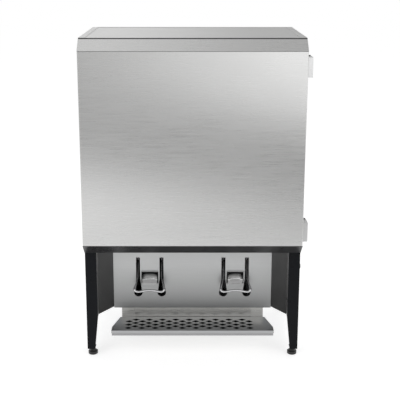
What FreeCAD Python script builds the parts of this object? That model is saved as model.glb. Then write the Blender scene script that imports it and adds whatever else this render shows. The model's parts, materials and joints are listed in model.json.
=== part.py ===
import FreeCAD, Part
import math
import os
import re
import Sketcher
from FreeCAD import Rotation, Vector

# Refrigerated two-valve bulk beverage dispenser.
# +X is the right side, -Y the front, +Z up. The origin is the bottom centre of the whole
# object's box, so every piece is drawn about the cabinet's centre line and then moved by
# half of what the hinges stand out on the right.

# Driving sizes in millimetres, angles in degrees, and counts
SIZES = {
    # whole object
    "cab_width": 686, "unit_depth": 445, "unit_height": 1035, "cab_floor": 357,
    "sheet_thick": 1.2, "fit_gap": 0.3,
    # door
    "door_thick": 44, "seal_gap": 5, "bevel_rise": 37, "seam_gap": 1.2, "trim_wall": 2.5,
    "liner_thick": 2, "dyke_deep": 20, "dyke_gap": 14, "gasket_wide": 16, "gasket_lap": 8,
    "skin_round": 2.5, "liner_edge": 1,
    # cabinet
    "wall_thick": 40, "top_hem": 19, "frame_thick": 6,
    # hinges
    "hinge_out": 14, "hinge_tall": 60, "hinge_reach": 42, "leaf_thick": 3,
    "hinge_drop": 84, "hinge_rise": 81, "hinge_pin": 6, "run_fit": 0.05,
    "head_out": 1.5, "head_thick": 2,
    # legs and feet
    "leg_wide": 36.6, "leg_toe": 25, "leg_flange": 40, "leg_toe_deep": 30, "leg_return": 30,
    "leg_plate": 2.5, "foot_tall": 22, "foot_dia": 31, "stem_dia": 10, "stem_tall": 38,
    "skirt_low": 130, "pan_thick": 2, "rear_inset": 22, "panel_flange": 15, "pan_lip": 18,
    "foot_edge": 1.5, "louvre_back": 60, "louvre_rise": 45, "louvre_wide": 6,
    "louvre_tall": 140, "louvre_pitch": 15, "louvre_count": 10,
    "vent_start": 190, "vent_long": 60, "vent_across": 80, "vent_columns": 6,
    "vent_rise": 40, "vent_tall": 6, "vent_pitch": 13, "vent_rows": 13,
    # splash panel and wings
    "splash_back": 144.5, "splash_wide": 524.5, "splash_drop": 4, "wing_lap": 15,
    # valves
    "valve_spread": 141.5, "slot_half": 38.9, "slot_wide": 13, "slot_top": 304,
    "slot_flare": 228, "key_high": 180, "key_radius": 14, "key_shoulder": 6,
    "window_low": 214, "window_top": 254, "window_wide": 56, "hem_rise": 3,
    "spout_wide": 52, "spout_radius": 36, "spout_axis": 18, "spout_low": 216,
    "spout_foot": 190, "spout_sheet": 1.5, "spout_step": 8,
    "pivot_back": 34, "pivot_high": 292, "pivot_dia": 6, "arm_thick": 3,
    "anvil_back": 16, "pinch_gap": 3.5, "web_rise": 24, "web_deep": 10,
    "body_sheet": 2, "body_half": 48, "body_deep": 40, "body_low": 276, "body_tab": 12,
    "body_clear": 4, "boss_half": 8, "arm_neck": 16, "arm_out": 18, "arm_in": 5,
    "arm_bend": 12, "strap_half": 6.5, "strap_out": 1.5,
    "bar_dia": 8, "bar_out": 40, "bar_high": 199, "bar_rise": 5, "bar_half": 52.5,
    "sleeve_out": 34, "sleeve_bore": 28, "sleeve_flange": 46, "sleeve_back": 24,
    "flange_thick": 2.5,
    # drip tray
    "tray_top": 93, "tray_tall": 18, "tray_front": 527, "tray_rear": 484, "tray_deep": 109,
    "tray_straight": 30, "lip_tall": 9, "hole_start": 210, "hole_pitch": 44.2,
    "row_first": 56.4, "row_pitch": 12.84, "hole_long": 28, "hole_deep": 18,
    "hole_count": 10, "row_count": 6,
    "bracket_wide": 473, "bracket_tab": 42, "bracket_sheet": 1.5, "shelf_deep": 70,
    "bracket_flange": 25,
    # machine compartment
    "pot_radius": 68, "pot_tall": 165, "pot_inset": 178, "pot_back": 110.5, "pot_round": 30,
    "mount_tall": 12, "mount_dia": 22, "mount_x": 75, "mount_y": 50, "mount_bore": 8,
    "mount_waist": 2, "mount_peg": 6, "foot_plate": 3, "foot_margin": 14,
    "relay_out": 16, "relay_deep": 40, "relay_half": 28, "relay_low": 60, "relay_top": 115,
    "coil_wide": 270, "coil_inset": 53, "coil_back": 12.5, "coil_deep": 38,
    "coil_tall": 195, "fin_pitch": 9, "fin_thick": 1.5, "fin_proud": 3, "fin_count": 29,
    "fan_high": 235, "fan_lead": 45, "fan_radius": 84, "hub_radius": 18,
    "hub_deep": 22, "blade_count": 5, "blade_half": 13, "blade_low": 9, "blade_rise": 8,
    "blade_thick": 0.8, "motor_dia": 70, "motor_deep": 55, "motor_gap": 6, "stand_half": 14,
    "stand_inset": 10, "stand_foot": 4, "shaft_dia": 8, "shaft_long": 24, "shaft_end": 2,
    "line_dia": 9.5, "line_bend": 14, "line_inset": 273, "line_out": 56, "line_drop": 25,
    "stat_inset": 78, "stat_high": 290, "stat_wide": 50, "stat_tall": 60, "stat_deep": 42,
    "stat_bore": 12, "knob_dia": 34, "knob_deep": 15, "knob_shaft": 6, "knob_stub": 10,
    "grip_half": 4, "grip_inset": 3, "gland_high": 185, "gland_dia": 26, "gland_bore": 4.5,
    "gland_back": 12, "gland_flange": 5, "gland_end": 6,
    # evaporator
    "evap_wide": 460, "evap_low": 445, "evap_tall": 440, "evap_back": 12, "ridge_pitch": 40,
    "ridge_tall": 12, "ridge_count": 10, "ridge_proud": 3, "ridge_side": 20, "ridge_low": 30,
    "post_side": 12, "post_end": 14, "post_radius": 6, "header_tall": 18, "header_half": 9,
    "header_deep": 6,
    # screws and plug
    "screw_dia": 4.8, "screw_head": 9, "head_tall": 2.6, "screw_long": 10,
    "grille_screw_low": 9, "grille_screw_in": 90, "grille_screw_out": 250,
    "plug_dia": 21, "plug_out": 3, "plug_high": 305, "plug_lead": 5, "plug_dome": 4,
}

document = FreeCAD.newDocument("beverage_dispenser")
sizes = document.addObject("Spreadsheet::Sheet", "sizes")
for row, (alias, size) in enumerate(SIZES.items(), 1):
    sizes.set(f"A{row}", str(size))
    sizes.setAlias(f"A{row}", alias)
document.recompute()


def formula(text):
    """The text as an expression, with each size read from the sheet."""
    return re.sub(r"[a-z_]+", lambda m: "sizes." + m[0] if m[0] in SIZES else m[0], str(text))


def number(text):
    """The present value of a formula."""
    return float(sizes.evalExpression(formula(text)))


# Named places, all from the sizes above
CENTRE = "(-hinge_out/2)"
FRONT = "(-unit_depth/2)"
DOOR_BACK = f"({FRONT}+door_thick)"
CAB_FRONT = f"({DOOR_BACK}+seal_gap)"
REAR = "(unit_depth/2)"
SIDE = "(cab_width/2)"
TOP = "unit_height"
SPLASH = f"({FRONT}+splash_back)"
SPLASH_REAR = f"({SPLASH}+sheet_thick+fit_gap)"
BEVEL_LOW = "(cab_floor+bevel_rise)"
BEVEL_TOP = "(unit_height-bevel_rise)"
HINGE_X = f"({SIDE}+hinge_out/2)"
HINGE_Y = f"({DOOR_BACK}+seal_gap/2)"
OPEN_SIDE = f"({SIDE}-wall_thick)"
OPEN_LOW = "(cab_floor+wall_thick)"
OPEN_TOP = "(unit_height-wall_thick)"
PANEL_X = f"({SIDE}-leg_plate-fit_gap)"
PAN_TOP = "(skirt_low+sheet_thick+pan_thick)"
REAR_PANEL = f"({REAR}-rear_inset)"
ANVIL = f"({SPLASH}+anvil_back)"
WEB_FRONT = f"({ANVIL}+body_sheet+pinch_gap)"
WEB_TOP = "(pivot_high+web_rise+1)"
PIVOT_Y = f"({SPLASH}+pivot_back)"
BAR_Y = f"({SPLASH}-bar_out)"
SLEEVE_Y = f"({SPLASH}+sleeve_back)"
FOOT_X = f"({SIDE}-leg_plate-leg_toe/2-1)"
TRAY_FRONT = f"({SPLASH}-tray_deep)"
HINGE_UPPER = f"({TOP}-hinge_drop)"
HINGE_LOWER = "(cab_floor+hinge_rise)"
POT_X = f"({SIDE}-pot_inset)"
POT_Y = f"({REAR_PANEL}-pot_back)"
COIL_RIGHT = f"({SIDE}-coil_inset)"
COIL_LEFT = f"({COIL_RIGHT}-coil_wide)"
COIL_FRONT = f"({REAR_PANEL}-coil_back-coil_deep)"
FAN_X = f"({COIL_RIGHT}-coil_wide/2)"
FAN_Y = f"({COIL_FRONT}-fan_lead)"
STAT_X = f"({SIDE}-stat_inset)"
LINE_X = f"({SIDE}-line_inset)"
LINE_Y = f"({REAR}-wall_thick-sheet_thick-evap_back)"
HEADER_LOW = "(evap_low-header_tall+4)"
PLUG_Y = f"({CAB_FRONT}+leg_flange/2-plug_lead)"
MOTOR_BACK = f"({FAN_Y}-motor_gap)"


def rectangle(left, low, right, high):
    return [(left, low), (right, low), (right, high), (left, high)]


def arc_centre(start, end, radius, side):
    """Centre of the arc under a half circle from start to end, on the given side of the chord."""
    chord = end - start
    reach = math.sqrt(radius**2 - (chord.Length / 2) ** 2)
    normal = Vector(-chord.y, chord.x, 0).normalize()
    return (start + end) * 0.5 + normal * (reach * side)


class Piece:
    """One sub-part: a body whose features are drawn on its own origin planes."""

    def __init__(self, label, at=("0", "0", "0"), turn=Rotation()):
        self.body = document.addObject("PartDesign::Body", label)
        self.body.Label = label
        self.body.Placement.Rotation = turn
        places = (f"{at[0]}+{CENTRE}", at[1], at[2])
        for axis, place in zip("xyz", places):
            self.body.setExpression(f"Placement.Base.{axis}", formula(place))

    def origin(self, role):
        return next(f for f in self.body.Origin.OriginFeatures if f.Role == role)

    def sketch(self, plane, start, outlines):
        drawing = self.body.newObject("Sketcher::SketchObject", f"{self.body.Name}_sketch")
        drawing.AttachmentSupport = [(self.origin(f"{plane}_Plane"), "")]
        drawing.MapMode = "FlatFace"
        lift = f"-({start})" if plane == "XZ" else f"{start}"
        drawing.setExpression("AttachmentOffset.Base.z", formula(lift))
        for outline in outlines:
            if outline[0] == "circle":
                self.draw_circle(drawing, *outline[1:])
            else:
                self.draw_outline(drawing, outline)
        return drawing

    def hold(self, drawing, kind, where, text):
        index = drawing.addConstraint(Sketcher.Constraint(kind, *where, number(text)))
        drawing.setExpression(f"Constraints[{index}]", formula(text))

    def draw_circle(self, drawing, x, y, radius):
        centre = Vector(number(x), number(y), 0)
        ring = drawing.addGeometry(Part.Circle(centre, Vector(0, 0, 1), number(radius)), False)
        self.hold(drawing, "DistanceX", (-1, 1, ring, 3), x)
        self.hold(drawing, "DistanceY", (-1, 1, ring, 3), y)
        self.hold(drawing, "Radius", (ring,), radius)

    def draw_outline(self, drawing, outline):
        """A closed outline of points. A point (x, y, radius, side) starts an arc."""
        corners = [Vector(number(p[0]), number(p[1]), 0) for p in outline]
        starts = []
        ends = []
        for i, point in enumerate(outline):
            here, there = corners[i], corners[(i + 1) % len(corners)]
            if len(point) == 2:
                edge = drawing.addGeometry(Part.LineSegment(here, there), False)
                starts.append((edge, 1))
                ends.append((edge, 2))
                continue
            radius, side = point[2], point[3]
            centre = arc_centre(here, there, number(radius), side)
            circle = Part.Circle(centre, Vector(0, 0, 1), number(radius))
            first, last = circle.parameter(here), circle.parameter(there)
            if side < 0:
                first, last = last, first
            if last < first:
                last += 2 * math.pi
            edge = drawing.addGeometry(Part.ArcOfCircle(circle, first, last), False)
            starts.append((edge, 1 if side > 0 else 2))
            ends.append((edge, 2 if side > 0 else 1))
            self.hold(drawing, "Radius", (edge,), radius)
        for i, point in enumerate(outline):
            tie = Sketcher.Constraint("Coincident", *ends[i - 1], *starts[i])
            drawing.addConstraint(tie)
            self.hold(drawing, "DistanceX", (-1, 1, *starts[i]), point[0])
            self.hold(drawing, "DistanceY", (-1, 1, *starts[i]), point[1])

    def feature(self, kind, drawing):
        made = self.body.newObject(f"PartDesign::{kind}", f"{self.body.Name}_{kind}")
        made.Profile = drawing
        return made

    def add(self, plane, start, length, *outlines):
        """A pad that grows from start along the plane's positive world axis."""
        made = self.feature("Pad", self.sketch(plane, start, outlines))
        made.setExpression("Length", formula(length))
        made.Reversed = plane == "XZ"
        return made

    def cut(self, plane, start, length, *outlines):
        """A pocket that runs from start along the plane's positive world axis."""
        made = self.feature("Pocket", self.sketch(plane, start, outlines))
        made.setExpression("Length", formula(length))
        made.Reversed = plane != "XZ"
        return made

    def lathe(self, outline):
        """A full turn of an outline in X and Z about the piece's own Z axis."""
        drawing = self.sketch("XZ", "0", [outline])
        made = self.feature("Revolution", drawing)
        made.ReferenceAxis = (drawing, ["V_Axis"])
        made.Angle = 360
        return made

    def loft(self, low, low_outline, high, high_outline):
        made = self.feature("AdditiveLoft", self.sketch("XY", low, [low_outline]))
        made.Sections = [self.sketch("XY", high, [high_outline])]
        return made

    def repeat(self, feature, axis, pitch, count):
        made = self.body.newObject("PartDesign::LinearPattern", f"{self.body.Name}_pattern")
        made.Originals = [feature]
        made.Direction = (self.origin(f"{axis}_Axis"), [""])
        made.Mode = "Spacing"
        made.setExpression("Offset", formula(pitch))
        made.setExpression("Occurrences", formula(count))
        self.body.Tip = made
        return made

    def round(self, radius, chosen):
        """A fillet of the edges that the test chooses."""
        document.recompute()
        base = self.body.Tip
        names = [f"Edge{i}" for i, e in enumerate(base.Shape.Edges, 1) if chosen(e)]
        made = self.body.newObject("PartDesign::Fillet", f"{self.body.Name}_fillet")
        made.Base = (base, names)
        made.setExpression("Radius", formula(radius))
        return made


def is_upright(edge, x=None, y=None):
    """True for a straight upright edge at the given places."""
    first, last = edge.Vertexes[0].Point, edge.Vertexes[-1].Point
    upright = abs(first.x - last.x) < 0.01 and abs(first.y - last.y) < 0.01
    at_x = x is None or abs(abs(first.x) - number(x)) < 0.01
    at_y = y is None or abs(first.y - number(y)) < 0.01
    return upright and at_x and at_y


def is_ring(edge, z):
    """True for a round edge at a height."""
    return edge.Closed and abs(edge.Vertexes[0].Point.z - number(z)) < 0.01


def group(label, pieces):
    """Identical pieces as one sub-part of separate solids."""
    made = document.addObject("Part::Compound", label)
    made.Label = label
    made.Links = [piece.body for piece in pieces]
    nodes.append(made)


def keep(piece):
    nodes.append(piece.body)
    return piece


nodes = []
SIDES = (("left", -1), ("right", 1))
FACE_RIGHT = Rotation(Vector(0, 1, 0), 90)
FACE_LEFT = Rotation(Vector(0, 1, 0), -90)
FACE_REAR = Rotation(Vector(1, 0, 0), -90)


# Screws: one form for all, drawn with the head's seat at the piece's own origin
def screw(label, at, turn):
    piece = Piece(label, at, turn)
    piece.lathe([
        ("0", "-screw_long"), ("screw_dia/2", "-screw_long"), ("screw_dia/2", "0"),
        ("screw_head/2", "0"), ("screw_head/2", "head_tall*0.6"),
        ("screw_head/2-1", "head_tall"), ("0", "head_tall"),
    ])
    return piece


SCREW_HOLE = "(screw_dia/2+fit_gap)"

# Places of the screws, which the holes share
LEG_SCREW_X = f"({SIDE}-leg_wide/2)"
LEG_SCREW_YS = ("leg_return*0.4", "leg_return*0.8")
HINGE_SCREW_ZS = ("-hinge_tall*0.3", "hinge_tall*0.3")
LEAF_SCREW_Y = f"({CAB_FRONT}+hinge_reach*0.6)"
BLOCK_SCREW_Y = f"({DOOR_BACK}-hinge_reach*0.55)"
HINGES = (("upper", HINGE_UPPER), ("lower", HINGE_LOWER))
GRILLE_SCREW_Z = f"({PAN_TOP}+grille_screw_low)"
GRILLE_SCREW_XS = ("-grille_screw_out", "-grille_screw_in", "grille_screw_in", "grille_screw_out")


def hinge_screw_holes(y):
    return [("circle", y, f"{height}+{z}", SCREW_HOLE)
            for _, height in HINGES for z in HINGE_SCREW_ZS]


def leg_screw_holes():
    holes = []
    for _, side in SIDES:
        for base, way in ((CAB_FRONT, 1), (REAR, -1)):
            for reach in LEG_SCREW_YS:
                place = f"{base}+{way}*{reach}"
                holes.append(("circle", f"{side}*{LEG_SCREW_X}", place, SCREW_HOLE))
    return holes


# Cabinet outer shell: sides and back in one sheet, with hems over the top
def outer_shell():
    piece = Piece("outer_shell")
    inner = f"({SIDE}-sheet_thick)"
    back = f"({REAR}-sheet_thick)"
    piece.add("XY", "cab_floor", "unit_height-cab_floor", [
        (f"-{SIDE}", CAB_FRONT), (f"-{SIDE}", REAR), (SIDE, REAR), (SIDE, CAB_FRONT),
        (inner, CAB_FRONT), (inner, back), (f"-{inner}", back), (f"-{inner}", CAB_FRONT),
    ])
    hem = f"({SIDE}-top_hem)"
    piece.add("XY", f"{TOP}-sheet_thick", "sheet_thick",
              rectangle(f"-{SIDE}", CAB_FRONT, f"-{hem}", REAR),
              rectangle(hem, CAB_FRONT, SIDE, REAR))
    piece.cut("YZ", inner, "2*sheet_thick", *hinge_screw_holes(LEAF_SCREW_Y))
    piece.round("skin_round", lambda e: is_upright(e, SIDE, REAR))
    return piece


# Top cover, tucked under the hems
def top_cover():
    piece = Piece("top_cover")
    edge = f"({SIDE}-sheet_thick-fit_gap)"
    piece.add("XY", f"{TOP}-2*sheet_thick", "sheet_thick",
              rectangle(f"-{edge}", CAB_FRONT, edge, f"{REAR}-sheet_thick-fit_gap"))
    return piece


# Insulation between the shell and the liner
def cabinet_foam():
    piece = Piece("cabinet_foam")
    edge = f"({SIDE}-sheet_thick)"
    front = f"({CAB_FRONT}+frame_thick)"
    piece.add("XY", "cab_floor+sheet_thick", f"{TOP}-cab_floor-3*sheet_thick",
              rectangle(f"-{edge}", front, edge, f"{REAR}-sheet_thick"))
    piece.cut("XZ", front, f"{REAR}-wall_thick-{front}",
              rectangle(f"-{OPEN_SIDE}", OPEN_LOW, OPEN_SIDE, OPEN_TOP))
    piece.cut("XY", "cab_floor", "wall_thick+1", *sleeve_holes(), line_hole())
    piece.cut("XY", "cab_floor", "screw_long+1", *leg_screw_holes())
    piece.cut("YZ", f"{edge}-screw_long", "screw_long", *hinge_screw_holes(LEAF_SCREW_Y))
    return piece


def sleeve_holes():
    return [("circle", f"{side}*valve_spread", SLEEVE_Y, "sleeve_out/2+fit_gap")
            for _, side in SIDES]


def line_hole():
    return ("circle", f"-{LINE_X}", LINE_Y, "line_dia/2+fit_gap")


# Inner liner: a pan open to the front
def inner_liner():
    piece = Piece("inner_liner")
    front = f"({CAB_FRONT}+frame_thick)"
    piece.add("XZ", front, f"{REAR}-wall_thick-{front}",
              rectangle(f"-{OPEN_SIDE}", OPEN_LOW, OPEN_SIDE, OPEN_TOP))
    piece.cut("XZ", front, f"{REAR}-wall_thick-sheet_thick-{front}",
              rectangle(f"-{OPEN_SIDE}+sheet_thick", f"{OPEN_LOW}+sheet_thick",
                        f"{OPEN_SIDE}-sheet_thick", f"{OPEN_TOP}-sheet_thick"))
    piece.cut("XY", f"{OPEN_LOW}-1", "sheet_thick+2", *sleeve_holes(), line_hole())
    return piece


# Front frame: the thermal break between the shell and the liner
def front_frame():
    piece = Piece("front_frame")
    edge = f"({SIDE}-sheet_thick)"
    piece.add("XZ", CAB_FRONT, "frame_thick",
              rectangle(f"-{edge}", "cab_floor+sheet_thick", edge, f"{TOP}-2*sheet_thick"))
    piece.cut("XZ", CAB_FRONT, "frame_thick",
              rectangle(f"-{OPEN_SIDE}+sheet_thick", f"{OPEN_LOW}+sheet_thick",
                        f"{OPEN_SIDE}-sheet_thick", f"{OPEN_TOP}-sheet_thick"))
    return piece


# Bottom panel of the cabinet
def bottom_panel():
    piece = Piece("bottom_panel")
    edge = f"({SIDE}-sheet_thick)"
    piece.add("XY", "cab_floor", "sheet_thick",
              rectangle(f"-{edge}", CAB_FRONT, edge, f"{REAR}-sheet_thick"))
    piece.cut("XY", "cab_floor", "sheet_thick", *sleeve_holes(), line_hole(),
              *leg_screw_holes())
    return piece


# Outlet sleeves through the cabinet floor, one over each valve
def outlet_sleeve(side):
    piece = Piece(f"sleeve_{side}", (f"{side}*valve_spread", SLEEVE_Y, "0"))
    seat = f"({OPEN_LOW}+sheet_thick)"
    piece.lathe([
        ("sleeve_bore/2", "cab_floor"), ("sleeve_out/2", "cab_floor"), ("sleeve_out/2", seat),
        ("sleeve_flange/2", seat), ("sleeve_flange/2", f"{seat}+flange_thick"),
        ("sleeve_bore/2", f"{seat}+flange_thick"),
    ])
    return piece


# Evaporator plate on the liner's back wall, with raised channels and stand-offs
def evaporator_plate():
    piece = Piece("evaporator_plate")
    half = "(evap_wide/2)"
    top = "(evap_low+evap_tall)"
    piece.add("XZ", LINE_Y, "sheet_thick", rectangle(f"-{half}", "evap_low", half, top))
    ridge = piece.add("XZ", f"{LINE_Y}-ridge_proud", "ridge_proud",
                      rectangle(f"-{half}+ridge_side", "evap_low+ridge_low",
                                f"{half}-ridge_side", "evap_low+ridge_low+ridge_tall"))
    piece.repeat(ridge, "Z", "ridge_pitch", "ridge_count")
    posts = [("circle", f"{x}*({half}-post_side)", z, "post_radius")
             for x in (-1, 1) for z in ("evap_low+post_end", f"{top}-post_end")]
    piece.add("XZ", LINE_Y, "evap_back-fit_gap", *posts)
    piece.add("XY", HEADER_LOW, "header_tall",
              rectangle(f"-{LINE_X}-header_half", f"{LINE_Y}-header_deep",
                        f"-{LINE_X}+header_half", f"{LINE_Y}+header_deep"))
    return piece


# Door skin: the front sheet with side walls
def door_skin():
    piece = Piece("door_skin")
    inner = f"({SIDE}-sheet_thick)"
    face = f"({FRONT}+sheet_thick)"
    piece.add("XY", BEVEL_LOW, f"{BEVEL_TOP}-{BEVEL_LOW}", [
        (f"-{SIDE}", DOOR_BACK), (f"-{SIDE}", FRONT), (SIDE, FRONT), (SIDE, DOOR_BACK),
        (inner, DOOR_BACK), (inner, face), (f"-{inner}", face), (f"-{inner}", DOOR_BACK),
    ])
    piece.cut("YZ", inner, "2*sheet_thick", *hinge_screw_holes(BLOCK_SCREW_Y))
    piece.round("skin_round", lambda e: is_upright(e, SIDE, FRONT))
    return piece


# Door trims: hollow bevelled end caps above and below the skin
def door_trim(label, inner_z, outer_z, way):
    piece = Piece(label)
    seam = f"({inner_z}+{way}*seam_gap)"
    back = f"({DOOR_BACK}-liner_thick)"
    slope = f"((bevel_rise-seam_gap)/(door_thick-liner_thick))"
    run = f"(door_thick-liner_thick-trim_wall)"
    piece.add("YZ", f"-{SIDE}", "cab_width", [(FRONT, seam), (back, outer_z), (back, seam)])
    far = f"({seam}+{way}*({slope}*{run}-trim_wall*1.4))"
    near = f"({FRONT}+(trim_wall*1.4-1)/{slope})"
    piece.cut("YZ", f"-{SIDE}+trim_wall", "cab_width-2*trim_wall", [
        (near, f"{seam}-{way}*1"), (f"{back}-trim_wall", far),
        (f"{back}-trim_wall", f"{seam}-{way}*1"),
    ])
    return piece


# Door foam between the trims, with the raised block that reaches into the cabinet
def door_foam():
    piece = Piece("door_foam")
    edge = f"({SIDE}-sheet_thick)"
    face = f"({FRONT}+sheet_thick)"
    low = f"({BEVEL_LOW}-seam_gap)"
    piece.add("XY", low, f"{BEVEL_TOP}+seam_gap-{low}",
              rectangle(f"-{edge}", face, edge, f"{DOOR_BACK}-liner_thick"))
    piece.add("XZ", f"{DOOR_BACK}-liner_thick", "dyke_deep", dyke("liner_thick"))
    piece.cut("YZ", f"{edge}-screw_long", "screw_long", *hinge_screw_holes(BLOCK_SCREW_Y))
    return piece


def dyke(inset):
    """The raised block's outline, kept clear of the cabinet's opening."""
    gap = f"(dyke_gap+sheet_thick+{inset})"
    return rectangle(f"-{OPEN_SIDE}+{gap}", f"{OPEN_LOW}+{gap}",
                     f"{OPEN_SIDE}-{gap}", f"{OPEN_TOP}-{gap}")


# Door liner: the inner skin over the foam
def door_liner():
    piece = Piece("door_liner")
    edge = f"({SIDE}-sheet_thick-fit_gap)"
    piece.add("XZ", f"{DOOR_BACK}-liner_thick", "liner_thick",
              rectangle(f"-{edge}", "cab_floor+liner_edge", edge, f"{TOP}-liner_edge"))
    piece.add("XZ", DOOR_BACK, "dyke_deep", dyke("0"))
    piece.cut("XZ", f"{DOOR_BACK}-liner_thick", "dyke_deep", dyke("liner_thick"))
    return piece


# Magnetic gasket round the door
def door_gasket():
    piece = Piece("door_gasket")
    lap = "gasket_lap"
    wide = "(gasket_lap+gasket_wide)"
    piece.add("XZ", DOOR_BACK, "seal_gap-fit_gap",
              rectangle(f"-{OPEN_SIDE}-{wide}", f"{OPEN_LOW}-{wide}",
                        f"{OPEN_SIDE}+{wide}", f"{OPEN_TOP}+{wide}"))
    piece.cut("XZ", DOOR_BACK, "seal_gap-fit_gap",
              rectangle(f"-{OPEN_SIDE}-{lap}", f"{OPEN_LOW}-{lap}",
                        f"{OPEN_SIDE}+{lap}", f"{OPEN_TOP}+{lap}"))
    return piece


KNUCKLE = "(hinge_out/2-fit_gap)"
PIN_BORE = "(hinge_pin/2+run_fit)"


# Door leaf: a block on the door's edge with the upper knuckle
def hinge_leaf(label, height):
    piece = Piece(label, ("0", "0", height))
    low = "(-hinge_tall/2)"
    reach = f"({HINGE_Y}-{KNUCKLE}-fit_gap)"
    piece.add("XY", low, "hinge_tall",
              rectangle(SIDE, f"{DOOR_BACK}-hinge_reach", f"{SIDE}+hinge_out", reach))
    piece.add("XY", "fit_gap/2", "hinge_tall/2-fit_gap/2",
              rectangle(f"{SIDE}+fit_gap", f"{reach}-1", f"{SIDE}+hinge_out-fit_gap", HINGE_Y))
    piece.add("XY", "fit_gap/2", "hinge_tall/2-fit_gap/2",
              ("circle", HINGE_X, HINGE_Y, KNUCKLE))
    piece.cut("XY", "fit_gap/2", "hinge_tall/2", ("circle", HINGE_X, HINGE_Y, PIN_BORE))
    piece.cut("YZ", f"{SIDE}+leaf_thick", "hinge_out",
              *[("circle", BLOCK_SCREW_Y, z, "screw_head/2+fit_gap") for z in HINGE_SCREW_ZS])
    piece.cut("YZ", SIDE, "leaf_thick",
              *[("circle", BLOCK_SCREW_Y, z, SCREW_HOLE) for z in HINGE_SCREW_ZS])
    return piece


# Cabinet leaf: a plate on the shell with the lower knuckle
def hinge_bracket(label, height):
    piece = Piece(label, ("0", "0", height))
    low = "(-hinge_tall/2)"
    plate = f"({SIDE}+leaf_thick)"
    piece.add("XY", low, "hinge_tall",
              rectangle(SIDE, f"{HINGE_Y}+{KNUCKLE}+fit_gap", plate,
                        f"{CAB_FRONT}+hinge_reach"))
    piece.add("XY", low, "hinge_tall/2-fit_gap/2",
              rectangle(f"{SIDE}+fit_gap", HINGE_Y, plate, f"{HINGE_Y}+{KNUCKLE}+2"))
    piece.add("XY", low, "hinge_tall/2-fit_gap/2", ("circle", HINGE_X, HINGE_Y, KNUCKLE))
    piece.cut("XY", low, "hinge_tall", ("circle", HINGE_X, HINGE_Y, PIN_BORE))
    piece.cut("YZ", SIDE, "leaf_thick",
              *[("circle", LEAF_SCREW_Y, z, SCREW_HOLE) for z in HINGE_SCREW_ZS])
    return piece


# Hinge pin with a low head
def hinge_pin(name, height):
    piece = Piece(f"hinge_pin_{name}", (HINGE_X, HINGE_Y, height))
    top = "(hinge_tall/2+fit_gap)"
    piece.lathe([
        ("0", "-hinge_tall/2"), ("hinge_pin/2", "-hinge_tall/2"), ("hinge_pin/2", top),
        ("hinge_pin/2+head_out", top), ("hinge_pin/2+head_out", f"{top}+head_thick"),
        ("0", f"{top}+head_thick"),
    ])
    return piece


# Leg: a tapered channel with a foot plate and a top plate
def leg(label, side, base, way):
    piece = Piece(label)
    taper = f"({PAN_TOP}+fit_gap)"
    toe = f"{side}*({SIDE}-leg_toe)"
    outer = f"{side}*{SIDE}"
    inner = f"{side}*({SIDE}-leg_wide)"

    def deep(reach):
        return f"({base}+{way}*({reach}))"

    def start(near, far):
        return deep(near) if way > 0 else deep(far)

    def left(near, far):
        return f"({side}*{near})" if side > 0 else f"({side}*{far})"

    piece.add("XZ", start("0", "leg_plate"), "leg_plate", [
        (outer, "foot_tall"), (outer, "cab_floor"), (inner, "cab_floor"), (inner, taper),
        (toe, "foot_tall"),
    ])
    piece.add("YZ", left(f"({SIDE}-leg_plate)", SIDE), "leg_plate", [
        (deep("0"), "foot_tall"), (deep("0"), "cab_floor"),
        (deep("leg_flange"), "cab_floor"), (deep("leg_flange"), taper),
        (deep("leg_toe_deep"), "foot_tall"),
    ])
    piece.add("YZ", left(f"({SIDE}-leg_wide)", f"({SIDE}-leg_wide+leg_plate)"), "leg_plate",
              rectangle(deep("0"), taper, deep("leg_return"), "cab_floor"))
    shelf = f"{side}*({PANEL_X}-sheet_thick-fit_gap)"
    piece.add("XY", "cab_floor-leg_plate", "leg_plate",
              rectangle(inner, deep("0"), shelf, deep("leg_return")))
    piece.add("XY", "foot_tall", "leg_plate",
              rectangle(outer, deep("0"), toe, deep("leg_toe_deep")))
    piece.cut("XY", "foot_tall", "leg_plate",
              ("circle", f"{side}*{FOOT_X}", deep("leg_toe_deep/2+1"), "stem_dia/2+fit_gap"))
    piece.cut("XY", "cab_floor-leg_plate", "leg_plate",
              *[("circle", f"{side}*{LEG_SCREW_X}", deep(reach), SCREW_HOLE)
                for reach in LEG_SCREW_YS])
    if label == "front_right_leg":
        piece.cut("YZ", f"{SIDE}-leg_plate", "leg_plate",
                  ("circle", PLUG_Y, "plug_high", "plug_dia/4+fit_gap"))
    return piece


# Levelling foot: pad, neck and stem
def foot(label, side, base, way):
    place = f"({base}+{way}*(leg_toe_deep/2+1))"
    piece = Piece(label, (f"{side}*{FOOT_X}", place, "0"))
    piece.lathe([
        ("0", "0"), ("foot_dia/2-foot_edge", "0"), ("foot_dia/2", "foot_edge"),
        ("foot_dia/2", "foot_tall*0.45", "foot_dia/2.8", -1),
        ("stem_dia*0.8", "foot_tall-fit_gap"), ("stem_dia/2", "foot_tall-fit_gap"),
        ("stem_dia/2", "foot_tall+stem_tall"), ("0", "foot_tall+stem_tall"),
    ])
    return piece


# Domed plug on the outer side of the right front leg
def leg_plug():
    piece = Piece("leg_plug", (SIDE, PLUG_Y, "plug_high"), FACE_RIGHT)
    piece.lathe([
        ("0", "-leg_plate"), ("plug_dia/4", "-leg_plate"), ("plug_dia/4", "0"),
        ("plug_dia/2", "0"), ("plug_dia/2", "plug_out*0.4"),
        ("plug_dia/2-plug_dome", "plug_out"), ("0", "plug_out"),
    ])
    return piece


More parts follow.
